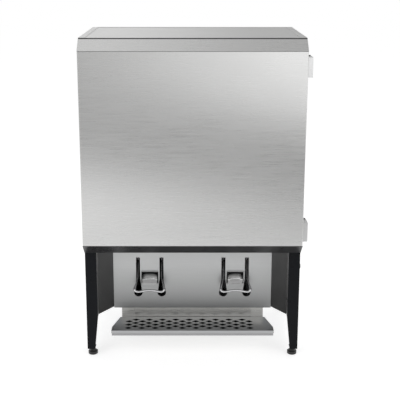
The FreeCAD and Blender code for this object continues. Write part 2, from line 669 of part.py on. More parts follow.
# Lower side panel: a sheet with top and bottom flanges and vent slots
def side_panel(label, side):
    piece = Piece(label)
    inner = f"({PANEL_X}-sheet_thick)"
    edge = f"{side}*{PANEL_X}"
    turned = f"{side}*({PANEL_X}-panel_flange)"
    first = f"({CAB_FRONT}+leg_plate+fit_gap)"
    last = f"({REAR}-leg_plate-fit_gap)"
    left = inner if side > 0 else f"-{PANEL_X}"
    piece.add("YZ", left, "sheet_thick", rectangle(first, "skirt_low", last, "cab_floor"))
    piece.add("XY", "skirt_low", "sheet_thick",
              rectangle(edge, f"{SPLASH}+2*fit_gap+2*sheet_thick", turned, last))
    piece.add("XY", "cab_floor-sheet_thick", "sheet_thick",
              rectangle(edge, f"{CAB_FRONT}+leg_flange", turned, f"{REAR}-leg_flange"))
    near = f"({SPLASH}+louvre_back)"
    foot_z = "(skirt_low+louvre_rise)"
    slot = piece.cut("YZ", left, "sheet_thick",
                     rectangle(near, foot_z, f"{near}+louvre_wide", f"{foot_z}+louvre_tall"))
    piece.repeat(slot, "Y", "louvre_pitch", "louvre_count")
    return piece


# Wing: the sheet from the front leg's return to the splash panel's edge
def wing(label, side):
    piece = Piece(label)
    lap_x = f"({SIDE}-leg_wide+leg_plate+fit_gap)"
    end_x = "(splash_wide/2+fit_gap)"
    bend = f"({CAB_FRONT}+leg_return+fit_gap)"
    tail = "(wing_lap*0.8)"
    outline = [
        (lap_x, f"{bend}-wing_lap"), (lap_x, bend), (end_x, SPLASH), (end_x, SPLASH_REAR),
        (f"{end_x}-{tail}", SPLASH_REAR), (f"{end_x}-{tail}", f"{SPLASH_REAR}+sheet_thick"),
        (f"{end_x}+sheet_thick", f"{SPLASH_REAR}+sheet_thick"),
        (f"{end_x}+sheet_thick", f"{SPLASH}+1"), (f"{lap_x}+sheet_thick", f"{bend}+1"),
        (f"{lap_x}+sheet_thick", f"{bend}-wing_lap"),
    ]
    piece.add("XY", "skirt_low", "cab_floor-skirt_low-leg_plate-fit_gap",
              [(f"{side}*({x})", y) for x, y in outline])
    return piece


# Splash panel with keyhole slots, spout windows and a hem over each window
def splash_panel():
    piece = Piece("splash_panel")
    low = "(skirt_low-splash_drop)"
    piece.add("XZ", SPLASH, "sheet_thick",
              rectangle("-splash_wide/2", low, "splash_wide/2", "cab_floor-fit_gap"))
    slots = []
    keys = []
    windows = []
    hems = []
    for _, side in SIDES:
        middle = f"{side}*valve_spread"
        window = (f"{middle}-window_wide/2", f"{middle}+window_wide/2")
        windows.append(rectangle(window[0], "window_low", window[1], "window_top"))
        hems.append(rectangle(window[0], "window_top", window[1], "window_top+hem_rise"))
        for hand in (-1, 1):
            x = f"({middle}+{hand}*slot_half)"
            wide = "(key_radius*0.9)"
            slots.append([
                (f"{x}-slot_wide/2", "slot_top"), (f"{x}+slot_wide/2", "slot_top"),
                (f"{x}+slot_wide/2", "slot_flare"), (f"{x}+{wide}", "key_high+key_shoulder"),
                (f"{x}-{wide}", "key_high+key_shoulder"), (f"{x}-slot_wide/2", "slot_flare"),
            ])
            keys.append(("circle", x, "key_high", "key_radius"))
    piece.cut("XZ", SPLASH, "sheet_thick", *slots)
    piece.cut("XZ", SPLASH, "sheet_thick", *keys)
    piece.cut("XZ", SPLASH, "sheet_thick", *windows)
    piece.add("XZ", f"{SPLASH}-hem_rise", "hem_rise", *hems)
    piece.round("hem_rise*0.45", is_hem_edge)
    return piece


def is_hem_edge(edge):
    """True for the two long front edges of each hem."""
    first, last = edge.Vertexes[0].Point, edge.Vertexes[-1].Point
    level = abs(first.z - last.z) < 0.01
    return level and abs(first.y - last.y) < 0.01 and first.y < number(f"{SPLASH}-hem_rise/2")


# Spout: a quarter-round chute through the window, with cheeks and a foot behind the panel
def spout(label, side):
    piece = Piece(label, (f"{side}*valve_spread", "0", "0"))
    axis = f"({SPLASH}+spout_axis)"
    lip = f"({axis}-spout_radius)"
    crown = "(spout_low+spout_radius)"
    thin = "(spout_radius-spout_sheet)"
    half = "(spout_wide/2)"
    piece.add("YZ", f"-{half}", "spout_wide", [
        (axis, crown, "spout_radius", 1), (lip, "spout_low"),
        (f"{lip}+spout_sheet", "spout_low", thin, -1), (axis, f"{crown}-spout_sheet"),
    ])
    cheek_foot = f"({SPLASH_REAR}+spout_step)"
    for start in (f"-{half}", f"({half}-spout_sheet)"):
        piece.add("YZ", start, "spout_sheet", [
            (axis, crown, "spout_radius", 1), (lip, "spout_low"), (SPLASH_REAR, "spout_low"),
            (SPLASH_REAR, "spout_foot"), (cheek_foot, "spout_foot"), (axis, "spout_low"),
        ])
    piece.add("XZ", SPLASH_REAR, "spout_sheet",
              rectangle(f"-{half}", "spout_foot", half, "window_low"))
    return piece


# Valve body: the anvil behind the splash panel with two cheeks for the pivot
def valve_body(label, side):
    piece = Piece(label, (f"{side}*valve_spread", "0", "0"))
    low = "(slot_top+body_clear)"
    back = f"({ANVIL}+body_deep)"
    piece.add("XZ", ANVIL, "body_sheet",
              rectangle("-body_half", low, "body_half", "cab_floor"))
    cheek = [
        (ANVIL, low), (ANVIL, "cab_floor"), (back, "cab_floor"),
        (back, "body_low"), (f"{PIVOT_Y}-boss_half", "body_low"),
        (f"{PIVOT_Y}-boss_half*1.5", low),
    ]
    for start in ("-body_half", "body_half-body_sheet"):
        piece.add("YZ", start, "body_sheet", cheek)
    for start, end in (("-body_half-body_tab", "-body_half"), ("body_half", "body_half+body_tab")):
        piece.add("XY", "cab_floor-body_sheet", "body_sheet",
                  rectangle(start, ANVIL, end, back))
    piece.cut("YZ", "-body_half", "2*body_half",
              ("circle", PIVOT_Y, "pivot_high", "pivot_dia/2+run_fit"))
    return piece


# Pivot pin of a handle
def pivot_pin(side):
    piece = Piece(f"pivot_pin_{side}", (f"{side}*valve_spread", PIVOT_Y, "pivot_high"),
                  FACE_RIGHT)
    seat = "(body_half+fit_gap)"
    piece.lathe([
        ("0", "-body_half-head_thick"), ("pivot_dia/2", "-body_half-head_thick"),
        ("pivot_dia/2", seat), ("pivot_dia/2+head_thick", seat),
        ("pivot_dia/2+head_thick", f"{seat}+head_thick"), ("0", f"{seat}+head_thick"),
    ])
    return piece


# Handle yoke: two arms on the pivot, joined by the web that pinches the tube,
# and flared below to hold the cross bar
def handle_yoke(label, side):
    piece = Piece(label, (f"{side}*valve_spread", "0", "0"))
    outer = "(slot_half+arm_thick/2)"
    piece.add("XY", "pivot_high+web_rise-arm_thick", "arm_thick",
              rectangle(f"-{outer}", WEB_FRONT, outer, f"{WEB_FRONT}+web_deep"))
    bend = "(slot_flare+arm_bend)"
    arm = [
        (WEB_FRONT, WEB_TOP), (f"{WEB_FRONT}+web_deep+2", WEB_TOP),
        (f"{PIVOT_Y}+boss_half", "pivot_high+boss_half"),
        (f"{PIVOT_Y}+boss_half", "pivot_high-boss_half*0.75"),
        (f"{PIVOT_Y}-boss_half*0.75", "pivot_high-arm_neck"), (f"{SPLASH}-arm_in", bend),
        (f"{SPLASH}-arm_out", bend), (f"{SPLASH}-arm_out+2", f"{bend}+arm_bend"),
        (f"{PIVOT_Y}-arm_neck", "pivot_high"), (WEB_FRONT, "pivot_high+arm_neck-2"),
    ]
    for start in (f"-{outer}", f"({outer}-arm_thick)"):
        piece.add("YZ", start, "arm_thick", arm)
    low = "(bar_high-bar_dia*0.85)"
    for hand in (-1, 1):
        top = rectangle(f"{hand}*({outer}-arm_thick)", f"{SPLASH}-arm_out", f"{hand}*{outer}",
                        f"{SPLASH}-arm_in")
        bottom = rectangle(f"{hand}*(bar_half-strap_out-arm_thick)", f"{BAR_Y}-strap_half",
                           f"{hand}*(bar_half-strap_out)", f"{BAR_Y}+strap_half")
        piece.loft(low, bottom, bend, top)
    piece.cut("YZ", "-bar_half", "2*bar_half",
              ("circle", BAR_Y, "bar_high", "bar_dia/2+run_fit"))
    piece.cut("YZ", f"-{outer}", f"2*{outer}",
              ("circle", PIVOT_Y, "pivot_high", "pivot_dia/2+run_fit"))
    return piece


def rounded_path(points, radius):
    """Straight runs between points, joined by tangent arcs of one radius."""
    edges = []
    last = points[0]
    for before, corner, after in zip(points, points[1:], points[2:]):
        toward = (before - corner).normalize()
        away = (after - corner).normalize()
        half = toward.getAngle(away) / 2
        reach = radius / math.tan(half)
        bisector = (toward + away).normalize()
        first = corner + toward * reach
        second = corner + away * reach
        middle = corner + bisector * (radius / math.sin(half) - radius)
        edges.append(Part.LineSegment(last, first).toShape())
        edges.append(Part.Arc(first, middle, second).toShape())
        last = second
    edges.append(Part.LineSegment(last, points[-1]).toShape())
    return Part.Wire(edges)


def rod(label, path, radius):
    """A round rod swept along a path, placed from the cabinet's centre line."""
    start = path.Edges[0]
    heading = start.tangentAt(start.FirstParameter)
    ring = Part.Wire(Part.makeCircle(radius, start.valueAt(start.FirstParameter), heading))
    made = document.addObject("Part::Feature", label)
    made.Label = label
    made.Shape = path.makePipeShell([ring], True, False, 2)
    made.Placement.Base = Vector(number(CENTRE), 0, 0)
    nodes.append(made)
    return made


def bowed(start, end, radius, side):
    """An arc from start to end in the XZ plane that bows up (side 1) or down (side -1)."""
    chord = end - start
    depth = radius - math.sqrt(radius**2 - (chord.Length / 2) ** 2)
    normal = Vector(-chord.z, 0, chord.x).normalize()
    return Part.Arc(start, (start + end) * 0.5 + normal * (depth * side), end).toShape()


# Cross bar of a handle: straight in the arms, and bowed up between them
def handle_bar(label, side):
    middle = number(f"{side}*valve_spread")
    y = number(BAR_Y)
    low = number("bar_high")
    half_rise = number("bar_rise/2")
    end = number("bar_half")
    foot = number("bar_half-strap_out-arm_thick-2")
    joint = foot / 2
    radius = (joint**2 + half_rise**2) / (2 * half_rise)

    def place(x, z):
        return Vector(middle + x, y, low + z)

    path = Part.Wire([
        Part.LineSegment(place(-end, 0), place(-foot, 0)).toShape(),
        bowed(place(-foot, 0), place(-joint, half_rise), radius, -1),
        bowed(place(-joint, half_rise), place(joint, half_rise), radius, 1),
        bowed(place(joint, half_rise), place(foot, 0), radius, -1),
        Part.LineSegment(place(foot, 0), place(end, 0)).toShape(),
    ])
    return rod(label, path, number("bar_dia/2"))


# Base pan of the machine compartment
def base_pan():
    piece = Piece("base_pan")
    edge = f"({PANEL_X}-sheet_thick-fit_gap)"
    piece.add("XY", "skirt_low+sheet_thick", "pan_thick",
              rectangle(f"-{edge}", f"{SPLASH_REAR}+sheet_thick+fit_gap", edge, REAR_PANEL))
    flange = f"({SIDE}-leg_wide-2*fit_gap)"
    piece.add("XZ", f"{REAR_PANEL}-pan_thick", "pan_thick",
              rectangle(f"-{flange}", "skirt_low+sheet_thick", flange, f"{PAN_TOP}+pan_lip"))
    piece.cut("XZ", f"{REAR_PANEL}-pan_thick", "pan_thick", *grille_screw_holes())
    return piece


def grille_screw_holes():
    return [("circle", x, GRILLE_SCREW_Z, SCREW_HOLE) for x in GRILLE_SCREW_XS]


# Rear grille with vent slots, and holes for the thermostat's shaft and the cord gland
def rear_grille():
    piece = Piece("rear_grille")
    edge = f"({SIDE}-leg_wide-fit_gap)"
    piece.add("XZ", REAR_PANEL, "sheet_thick",
              rectangle(f"-{edge}", "skirt_low+sheet_thick", edge, "cab_floor-fit_gap"))
    low = "(skirt_low+vent_rise)"
    for column in range(SIZES["vent_columns"]):
        left = f"({column}*vent_across-vent_start)"
        slot = piece.cut("XZ", REAR_PANEL, "sheet_thick",
                         rectangle(left, low, f"{left}+vent_long", f"{low}+vent_tall"))
        piece.repeat(slot, "Z", "vent_pitch", "vent_rows")
    piece.cut("XZ", REAR_PANEL, "sheet_thick", *grille_screw_holes())
    piece.cut("XZ", REAR_PANEL, "sheet_thick",
              ("circle", f"-{STAT_X}", "stat_high", "knob_shaft/2+fit_gap"),
              ("circle", f"-{STAT_X}", "gland_high", "gland_dia*0.35+fit_gap"))
    return piece


# Tray bracket: a back plate with end tabs, a top flange under the pan and a shelf
def tray_bracket():
    piece = Piece("tray_bracket")
    half = "(bracket_wide/2)"
    shelf = "(tray_top-tray_tall-fit_gap-bracket_sheet)"
    top = "(skirt_low+sheet_thick)"
    piece.add("XZ", SPLASH_REAR, "bracket_sheet", rectangle(f"-{half}", shelf, half, top))
    piece.add("XY", f"{top}-bracket_sheet", "bracket_sheet",
              rectangle(f"-{half}", SPLASH_REAR, half, f"{SPLASH_REAR}+bracket_flange"))
    piece.add("XY", shelf, "bracket_sheet",
              rectangle(f"-{half}", f"{SPLASH}-shelf_deep", half,
                        f"{SPLASH_REAR}+bracket_sheet"))
    tab = f"({half}-bracket_tab)"
    for first, last in ((f"-{half}", f"-{tab}"), (tab, half)):
        piece.add("XZ", f"{SPLASH}+fit_gap", "sheet_thick",
                  rectangle(first, shelf, last, "skirt_low-splash_drop-1"))
    return piece


def tray_outline(inset):
    """The tray's plan: straight at the front, drawn in towards the splash panel."""
    front = f"({TRAY_FRONT}+{inset})"
    shoulder = f"({TRAY_FRONT}+tray_straight)"
    back = f"({SPLASH}-fit_gap-{inset})"
    wide = f"(tray_front/2-{inset})"
    narrow = f"(tray_rear/2-{inset})"
    return [(f"-{wide}", front), (wide, front), (wide, shoulder), (narrow, back),
            (f"-{narrow}", back), (f"-{wide}", shoulder)]


# Drip tray pan
def tray_pan():
    piece = Piece("tray_pan")
    inset = "(sheet_thick+fit_gap)"
    low = "(tray_top-tray_tall)"
    piece.add("XY", low, "tray_tall-sheet_thick-fit_gap", tray_outline(inset))
    piece.cut("XY", f"{low}+sheet_thick", "tray_tall", tray_outline(f"({inset}+sheet_thick)"))
    return piece


# Drip tray grille: a lipped lid with rows of diamond holes, every other row set back half a pitch
def tray_grille():
    piece = Piece("tray_grille")
    low = "(tray_top-lip_tall)"
    piece.add("XY", low, "lip_tall", tray_outline("0"))
    piece.cut("XY", low, "lip_tall-sheet_thick", tray_outline("sheet_thick"))
    piece.round("sheet_thick*0.8", is_tray_top_edge)
    for row in range(SIZES["row_count"]):
        shift = row % 2
        x = f"({shift}*hole_pitch/2-hole_start)"
        y = f"({FRONT}+row_first+{row}*row_pitch)"
        hole = piece.cut("XY", "tray_top-sheet_thick", "sheet_thick", [
            (f"{x}-hole_long/2", y), (x, f"{y}-hole_deep/2"),
            (f"{x}+hole_long/2", y), (x, f"{y}+hole_deep/2"),
        ])
        piece.repeat(hole, "X", "hole_pitch", f"hole_count-{shift}")
    return piece


def is_tray_top_edge(edge):
    """True for the outer edges of the lid's top."""
    return all(abs(v.Point.z - number("tray_top")) < 0.01 for v in edge.Vertexes)


# Compressor: a domed pot on a foot plate
def compressor():
    piece = Piece("compressor", (f"-{POT_X}", POT_Y, f"{PAN_TOP}+mount_tall"))
    piece.lathe([("0", "0"), ("pot_radius", "0"), ("pot_radius", "pot_tall"),
                 ("0", "pot_tall")])
    piece.round("pot_round", lambda e: is_ring(e, "0") or is_ring(e, "pot_tall"))
    wide = "(mount_x+foot_margin)"
    deep = "(mount_y+foot_margin)"
    piece.add("XY", "0", "foot_plate", rectangle(f"-{wide}", f"-{deep}", wide, deep))
    piece.cut("XY", "0", "foot_plate",
              *[("circle", f"{x}*mount_x", f"{y}*mount_y", "mount_bore/2+fit_gap")
                for x in (-1, 1) for y in (-1, 1)])
    piece.add("YZ", "-pot_radius-relay_out", "relay_deep",
              rectangle("-relay_half", "relay_low", "relay_half", "relay_top"))
    return piece


# Rubber mount under the compressor
def compressor_mount(x, y):
    place = (f"-{POT_X}+{x}*mount_x", f"{POT_Y}+{y}*mount_y", PAN_TOP)
    piece = Piece(f"mount_{x}_{y}", place)
    piece.lathe([
        ("0", "0"), ("mount_dia/2", "0"), ("mount_dia/2-mount_waist", "mount_tall/2"),
        ("mount_dia/2", "mount_tall"), ("mount_bore/2", "mount_tall"),
        ("mount_bore/2", "mount_tall+mount_peg"), ("0", "mount_tall+mount_peg"),
    ])
    return piece


# Condenser: a coil block with fins on both faces
def condenser():
    piece = Piece("condenser")
    piece.add("XY", PAN_TOP, "coil_tall",
              rectangle(COIL_LEFT, COIL_FRONT, COIL_RIGHT, f"{COIL_FRONT}+coil_deep"))
    fin = piece.add("YZ", COIL_LEFT, "fin_thick",
                    rectangle(f"{COIL_FRONT}-fin_proud", PAN_TOP,
                              f"{COIL_FRONT}+coil_deep+fin_proud", f"{PAN_TOP}+coil_tall"))
    piece.repeat(fin, "X", "fin_pitch", "fin_count")
    return piece


# Fan motor on its pedestal, with the bore for the shaft
def fan_motor():
    piece = Piece("fan_motor")
    front = f"({MOTOR_BACK}-motor_deep)"
    piece.add("XZ", front, "motor_deep", ("circle", FAN_X, "fan_high", "motor_dia/2"))
    piece.add("XZ", f"{front}+stand_inset", "motor_deep-2*stand_inset",
              rectangle(f"{FAN_X}-stand_half", PAN_TOP, f"{FAN_X}+stand_half", "fan_high"))
    piece.add("XY", PAN_TOP, "stand_foot",
              rectangle(f"{FAN_X}-motor_dia/2", front, f"{FAN_X}+motor_dia/2", MOTOR_BACK))
    piece.cut("XZ", f"{MOTOR_BACK}-shaft_long", "shaft_long",
              ("circle", FAN_X, "fan_high", "shaft_dia/2+run_fit"))
    return piece


# Fan: hub, shaft and pitched blades, drawn about its own Z axis
def fan_blade():
    piece = Piece("fan_blade", (FAN_X, FAN_Y, "fan_high"), FACE_REAR)
    piece.add("XY", "0", "hub_deep", ("circle", "0", "0", "hub_radius"))
    piece.add("XY", "shaft_end-motor_gap-shaft_long", "shaft_long+2*shaft_end",
              ("circle", "0", "0", "shaft_dia/2"))
    near = "(hub_deep/2-blade_low)"
    far = "(hub_deep/2+blade_rise)"
    blade = piece.add("YZ", "hub_radius-3", "fan_radius-hub_radius+3", [
        ("-blade_half", near), ("1-blade_half", f"{near}-blade_thick"), ("blade_half", far),
        ("blade_half-1", f"{far}+blade_thick"),
    ])
    ring = piece.body.newObject("PartDesign::PolarPattern", "fan_ring")
    ring.Originals = [blade]
    ring.Axis = (piece.origin("Z_Axis"), [""])
    ring.Angle = 360
    ring.setExpression("Occurrences", formula("blade_count"))
    piece.body.Tip = ring
    return piece


# Thermostat box behind the grille, with the bore for the knob's shaft
def thermostat():
    piece = Piece("thermostat")
    back = f"({REAR_PANEL}-fit_gap)"
    piece.add("XZ", f"{back}-stat_deep", "stat_deep",
              rectangle(f"-{STAT_X}-stat_wide/2", "stat_high-stat_tall/2",
                        f"-{STAT_X}+stat_wide/2", "stat_high+stat_tall/2"))
    piece.cut("XZ", f"{back}-stat_bore", "stat_bore",
              ("circle", f"-{STAT_X}", "stat_high", "knob_shaft/2+run_fit"))
    return piece


# Thermostat knob on the grille's outer face, drawn about its own Z axis
def thermostat_knob():
    seat = f"({REAR_PANEL}+sheet_thick+fit_gap)"
    piece = Piece("thermostat_knob", (f"-{STAT_X}", seat, "stat_high"), FACE_REAR)
    piece.lathe([
        ("0", "-sheet_thick-knob_stub"), ("knob_shaft/2", "-sheet_thick-knob_stub"),
        ("knob_shaft/2", "0"), ("knob_dia/2", "0"), ("knob_dia/2-2", "knob_deep*0.45"),
        ("knob_dia/2-grip_inset", "knob_deep*0.5"), ("0", "knob_deep*0.5"),
    ])
    piece.add("XY", "knob_deep*0.4", "knob_deep*0.6",
              rectangle("-grip_half", "grip_inset-knob_dia/2", "grip_half",
                        "knob_dia/2-grip_inset"))
    return piece


# Cord gland in the grille
def cord_gland():
    piece = Piece("cord_gland", (f"-{STAT_X}", REAR_PANEL, "gland_high"), FACE_REAR)
    hole = "(gland_dia*0.35)"
    end = "(rear_inset-gland_end)"
    piece.lathe([
        ("gland_bore", "-gland_back"), ("gland_dia/2-1", "-gland_back"),
        ("gland_dia/2-1", "-fit_gap"), (hole, "-fit_gap"), (hole, "sheet_thick+fit_gap"),
        ("gland_dia/2", "sheet_thick+fit_gap"), ("gland_dia/2", "sheet_thick+gland_flange"),
        ("gland_dia*0.36", end), ("gland_bore", end),
    ])
    return piece


# Refrigerant lines
def discharge_line():
    start_x = number(f"-{POT_X}+pot_radius+fit_gap")
    turn_x = start_x + number("line_out")
    y = number(POT_Y)
    end_y = number(f"{COIL_FRONT}+coil_deep/2")
    low = number(f"{PAN_TOP}+mount_tall+pot_tall*0.5")
    high = number(f"{PAN_TOP}+coil_tall-line_drop")
    points = [
        Vector(start_x, y, low), Vector(turn_x, y, low), Vector(turn_x, end_y, low),
        Vector(turn_x, end_y, high), Vector(number(f"{COIL_LEFT}-fit_gap"), end_y, high),
    ]
    path = rounded_path(points, number("line_bend"))
    return rod("discharge_line", path, number("line_dia/2"))


def suction_line():
    start_x = number(f"-{POT_X}+pot_radius+fit_gap")
    turn_x = -number(LINE_X)
    y = number(POT_Y)
    end_y = number(LINE_Y)
    low = number(f"{PAN_TOP}+mount_tall+pot_tall*0.78")
    points = [
        Vector(start_x, y, low), Vector(turn_x, y, low), Vector(turn_x, end_y, low),
        Vector(turn_x, end_y, number(f"{HEADER_LOW}-fit_gap")),
    ]
    path = rounded_path(points, number("line_bend*0.9"))
    return rod("suction_line", path, number("line_dia/2"))


# Cabinet
keep(outer_shell())
keep(top_cover())
keep(cabinet_foam())
keep(inner_liner())
keep(front_frame())
keep(bottom_panel())
group("outlet_sleeves", [outlet_sleeve(side) for _, side in SIDES])
keep(evaporator_plate())

# Stand and machine compartment
ENDS = (("front", CAB_FRONT, 1), ("rear", REAR, -1))
for end, base, way in ENDS:
    for hand, side in SIDES:
        keep(leg(f"{end}_{hand}_leg", side, base, way))
        keep(foot(f"{end}_{hand}_foot", side, base, way))
keep(leg_plug())
for hand, side in SIDES:
    keep(side_panel(f"{hand}_side_panel", side))
    keep(wing(f"{hand}_wing", side))
keep(splash_panel())
keep(base_pan())
keep(rear_grille())
keep(tray_bracket())
keep(compressor())
group("compressor_mounts", [compressor_mount(x, y) for x in (-1, 1) for y in (-1, 1)])
keep(condenser())
keep(fan_motor())
keep(fan_blade())
keep(thermostat())
keep(thermostat_knob())
keep(cord_gland())
discharge_line()
suction_line()

# Valves
for hand, side in SIDES:
    keep(valve_body(f"{hand}_valve_body", side))
    keep(spout(f"{hand}_spout", side))
    keep(handle_yoke(f"{hand}_handle_yoke", side))
    handle_bar(f"{hand}_handle_bar", side)
group("pivot_pins", [pivot_pin(side) for _, side in SIDES])

# Drip tray
keep(tray_pan())
keep(tray_grille())

# Door
keep(door_skin())
keep(door_trim("door_top_trim", BEVEL_TOP, TOP, 1))
keep(door_trim("door_bottom_trim", BEVEL_LOW, "cab_floor", -1))
keep(door_foam())
keep(door_liner())
keep(door_gasket())
for name, height in HINGES:
    keep(hinge_leaf(f"{name}_hinge_leaf", height))
    keep(hinge_bracket(f"{name}_hinge_bracket", height))
group("hinge_pins", [hinge_pin(name, height) for name, height in HINGES])

# Screws of the cabinet body: legs, hinge brackets and rear grille
cabinet_screws = []
for end, base, way in ENDS:
    for hand, side in SIDES:
        for i, reach in enumerate(LEG_SCREW_YS):
            place = (f"{side}*{LEG_SCREW_X}", f"{base}+{way}*{reach}", "cab_floor-leg_plate")
            down = Rotation(Vector(1, 0, 0), 180)
            cabinet_screws.append(screw(f"leg_screw_{end}_{hand}_{i}", place, down))
door_screws = []
for name, height in HINGES:
    for i, z in enumerate(HINGE_SCREW_ZS):
        place = (f"{SIDE}+leaf_thick", LEAF_SCREW_Y, f"{height}+{z}")
        cabinet_screws.append(screw(f"bracket_screw_{name}_{i}", place, FACE_RIGHT))
        place = (f"{SIDE}+leaf_thick", BLOCK_SCREW_Y, f"{height}+{z}")
        door_screws.append(screw(f"leaf_screw_{name}_{i}", place, FACE_RIGHT))
for i, x in enumerate(GRILLE_SCREW_XS):
    place = (x, f"{REAR_PANEL}+sheet_thick", GRILLE_SCREW_Z)
    cabinet_screws.append(screw(f"grille_screw_{i}", place, FACE_REAR))
group("cabinet_screws", cabinet_screws)
group("door_screws", door_screws)

document.recompute()

# Every feature must have worked, every cut must have removed something,
# and every sub-part must be sound, before anything is written
faults = []
for thing in document.Objects:
    if "Invalid" in thing.State or "Error" in thing.State:
        faults.append(f"{thing.Label}: {thing.State}")
    if thing.TypeId == "PartDesign::Pocket":
        if thing.Shape.Volume >= thing.BaseFeature.Shape.Volume - 1e-6:
            faults.append(f"{thing.Label}: cuts nothing")
for node in nodes:
    if node.Shape.isNull() or not node.Shape.isValid() or not node.Shape.Solids:
        faults.append(f"{node.Label}: not a sound solid")
if len({node.Label for node in nodes}) != len(nodes):
    faults.append("two sub-parts share a name")
if faults:
    raise RuntimeError("\n".join(faults))

os.makedirs("parts", exist_ok=True)
for node in nodes:
    node.Shape.exportStep(f"parts/{node.Label}.step")
print(f"{len(nodes)} sub-parts written")
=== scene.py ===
import json
import math

import bmesh
import bpy
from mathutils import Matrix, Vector


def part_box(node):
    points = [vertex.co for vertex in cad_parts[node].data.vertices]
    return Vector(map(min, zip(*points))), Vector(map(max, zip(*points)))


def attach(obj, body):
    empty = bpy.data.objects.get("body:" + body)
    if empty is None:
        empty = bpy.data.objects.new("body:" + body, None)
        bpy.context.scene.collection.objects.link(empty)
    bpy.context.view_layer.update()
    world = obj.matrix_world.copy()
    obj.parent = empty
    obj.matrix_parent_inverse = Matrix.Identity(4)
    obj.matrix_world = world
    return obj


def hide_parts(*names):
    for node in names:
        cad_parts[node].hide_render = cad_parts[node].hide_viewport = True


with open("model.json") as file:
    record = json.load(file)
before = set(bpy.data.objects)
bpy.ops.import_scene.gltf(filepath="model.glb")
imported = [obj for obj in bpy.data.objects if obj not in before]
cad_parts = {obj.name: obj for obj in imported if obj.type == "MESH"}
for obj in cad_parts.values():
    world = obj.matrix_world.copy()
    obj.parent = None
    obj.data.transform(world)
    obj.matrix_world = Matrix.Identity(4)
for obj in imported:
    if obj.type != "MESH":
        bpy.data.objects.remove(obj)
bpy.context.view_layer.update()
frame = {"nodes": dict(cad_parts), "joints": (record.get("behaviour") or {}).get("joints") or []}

NODES = frame["nodes"]
SCENE = bpy.context.scene

# Places on the object, in metres, from the frame
DOOR_LOW, DOOR_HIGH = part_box("door_skin")
CENTRE_X = (DOOR_LOW.x + DOOR_HIGH.x) / 2
DOOR_FRONT = DOOR_LOW.y
PIVOTS = {joint["name"]: joint["pos_m"] for joint in frame["joints"] if "pos_m" in joint}
PIVOT_Y, PIVOT_Z = PIVOTS["left_handle_lift"][1:]
SPLASH_FRONT = PIVOT_Y - 0.034

# The lift handle, in metres. Both hands have the same heights and depths.
BAR_LOW, BAR_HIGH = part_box("left_handle_bar")
BAR_Y = (BAR_LOW.y + BAR_HIGH.y) / 2
BAR_Z = BAR_LOW.z + (BAR_HIGH.y - BAR_LOW.y) / 2
BAR_RADIUS = 0.0039
ARM_REACH = 0.0389
STRAP_HALF_WIDE = 0.0068
STRAP_HALF_THICK = 0.0015
STRAP_END_HALF = 0.0046

# The spout in its window, in metres. Its top is an arc about an axis at its rear.
SPOUT_BOX_LOW, SPOUT_BOX_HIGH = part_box("left_spout")
SPOUT_RADIUS = SPOUT_BOX_HIGH.y - SPOUT_BOX_LOW.y
SPOUT_AXIS_Y = SPOUT_BOX_HIGH.y
SPOUT_AXIS_Z = SPOUT_BOX_HIGH.z - SPOUT_RADIUS
SPOUT_FOOT = SPOUT_BOX_LOW.z
SPOUT_CLEAR = 0.0002
SPOUT_HALF_WIDE = (SPOUT_BOX_HIGH.x - SPOUT_BOX_LOW.x) / 2 - SPOUT_CLEAR
SPOUT_FOLD = math.radians(60.0)
SPOUT_SHEET = 0.0012

# How much a brushed line is drawn out along its grain
GRAIN_STRETCH = 0.012


# Camera at the photograph's angle

def make_camera():
    stand_off = 2.5
    side_step = -0.015
    eye_height = 1.27
    pitch = math.radians(13.5)
    data = bpy.data.cameras.new("camera")
    data.sensor_width = 36.0
    data.lens = 76.14
    data.shift_x = 0.0249
    data.shift_y = -0.10
    data.clip_start = 0.05
    camera = bpy.data.objects.new("camera", data)
    camera.location = (side_step, DOOR_FRONT - stand_off, eye_height)
    camera.rotation_euler = (math.radians(90.0) - pitch, 0.0, 0.0)
    SCENE.collection.objects.link(camera)
    SCENE.camera = camera


# Materials

class Graph:
    """A node tree, with calls that add nodes to it and join them."""

    def __init__(self, tree):
        self.nodes = tree.nodes
        self.links = tree.links

    def add(self, kind, **inputs):
        """Adds a node and sets its inputs, by name, to a value or another node's socket."""
        node = self.nodes.new("ShaderNode" + kind)
        for key, value in inputs.items():
            self.feed(node.inputs[key.replace("_", " ")], value)
        return node

    def feed(self, socket, value):
        """Sets a socket to a value, or links another node's socket to it."""
        if isinstance(value, bpy.types.NodeSocket):
            self.links.new(value, socket)
        elif socket.type == "RGBA":
            socket.default_value = (*value, 1.0)
        else:
            socket.default_value = value

    def coordinate(self, axis):
        point = self.add("TexCoord").outputs["Object"]
        return self.add("SeparateXYZ", Vector=point).outputs[axis]

    def math(self, operation, first, second=0.0, clamp=False):
        node = self.nodes.new("ShaderNodeMath")
        node.operation = operation
        node.use_clamp = clamp
        self.feed(node.inputs[0], first)
        self.feed(node.inputs[1], second)
        return node.outputs[0]

    def blend(self, share, first, second):
        """A plain number, from first to second by a share."""
        change = self.math("SUBTRACT", second, first)
        return self.math("ADD", first, self.math("MULTIPLY", share, change))

    def span(self, value, low, high, to_low=0.0, to_high=1.0):
        """Maps a value from one range to another, smoothly and clamped."""
        node = self.add("MapRange", Value=value, From_Min=low, From_Max=high, To_Min=to_low, To_Max=to_high)
        node.interpolation_type = "SMOOTHSTEP"
        node.clamp = True
        return node.outputs["Result"]

    def seen_rays(self):
        """1 for camera, glossy and transmission rays, and 0 for the rays that light things."""
        path = self.add("LightPath").outputs
        direct = self.math("MAXIMUM", path["Is Camera Ray"], path["Is Glossy Ray"])
        return self.math("MAXIMUM", direct, path["Is Transmission Ray"])


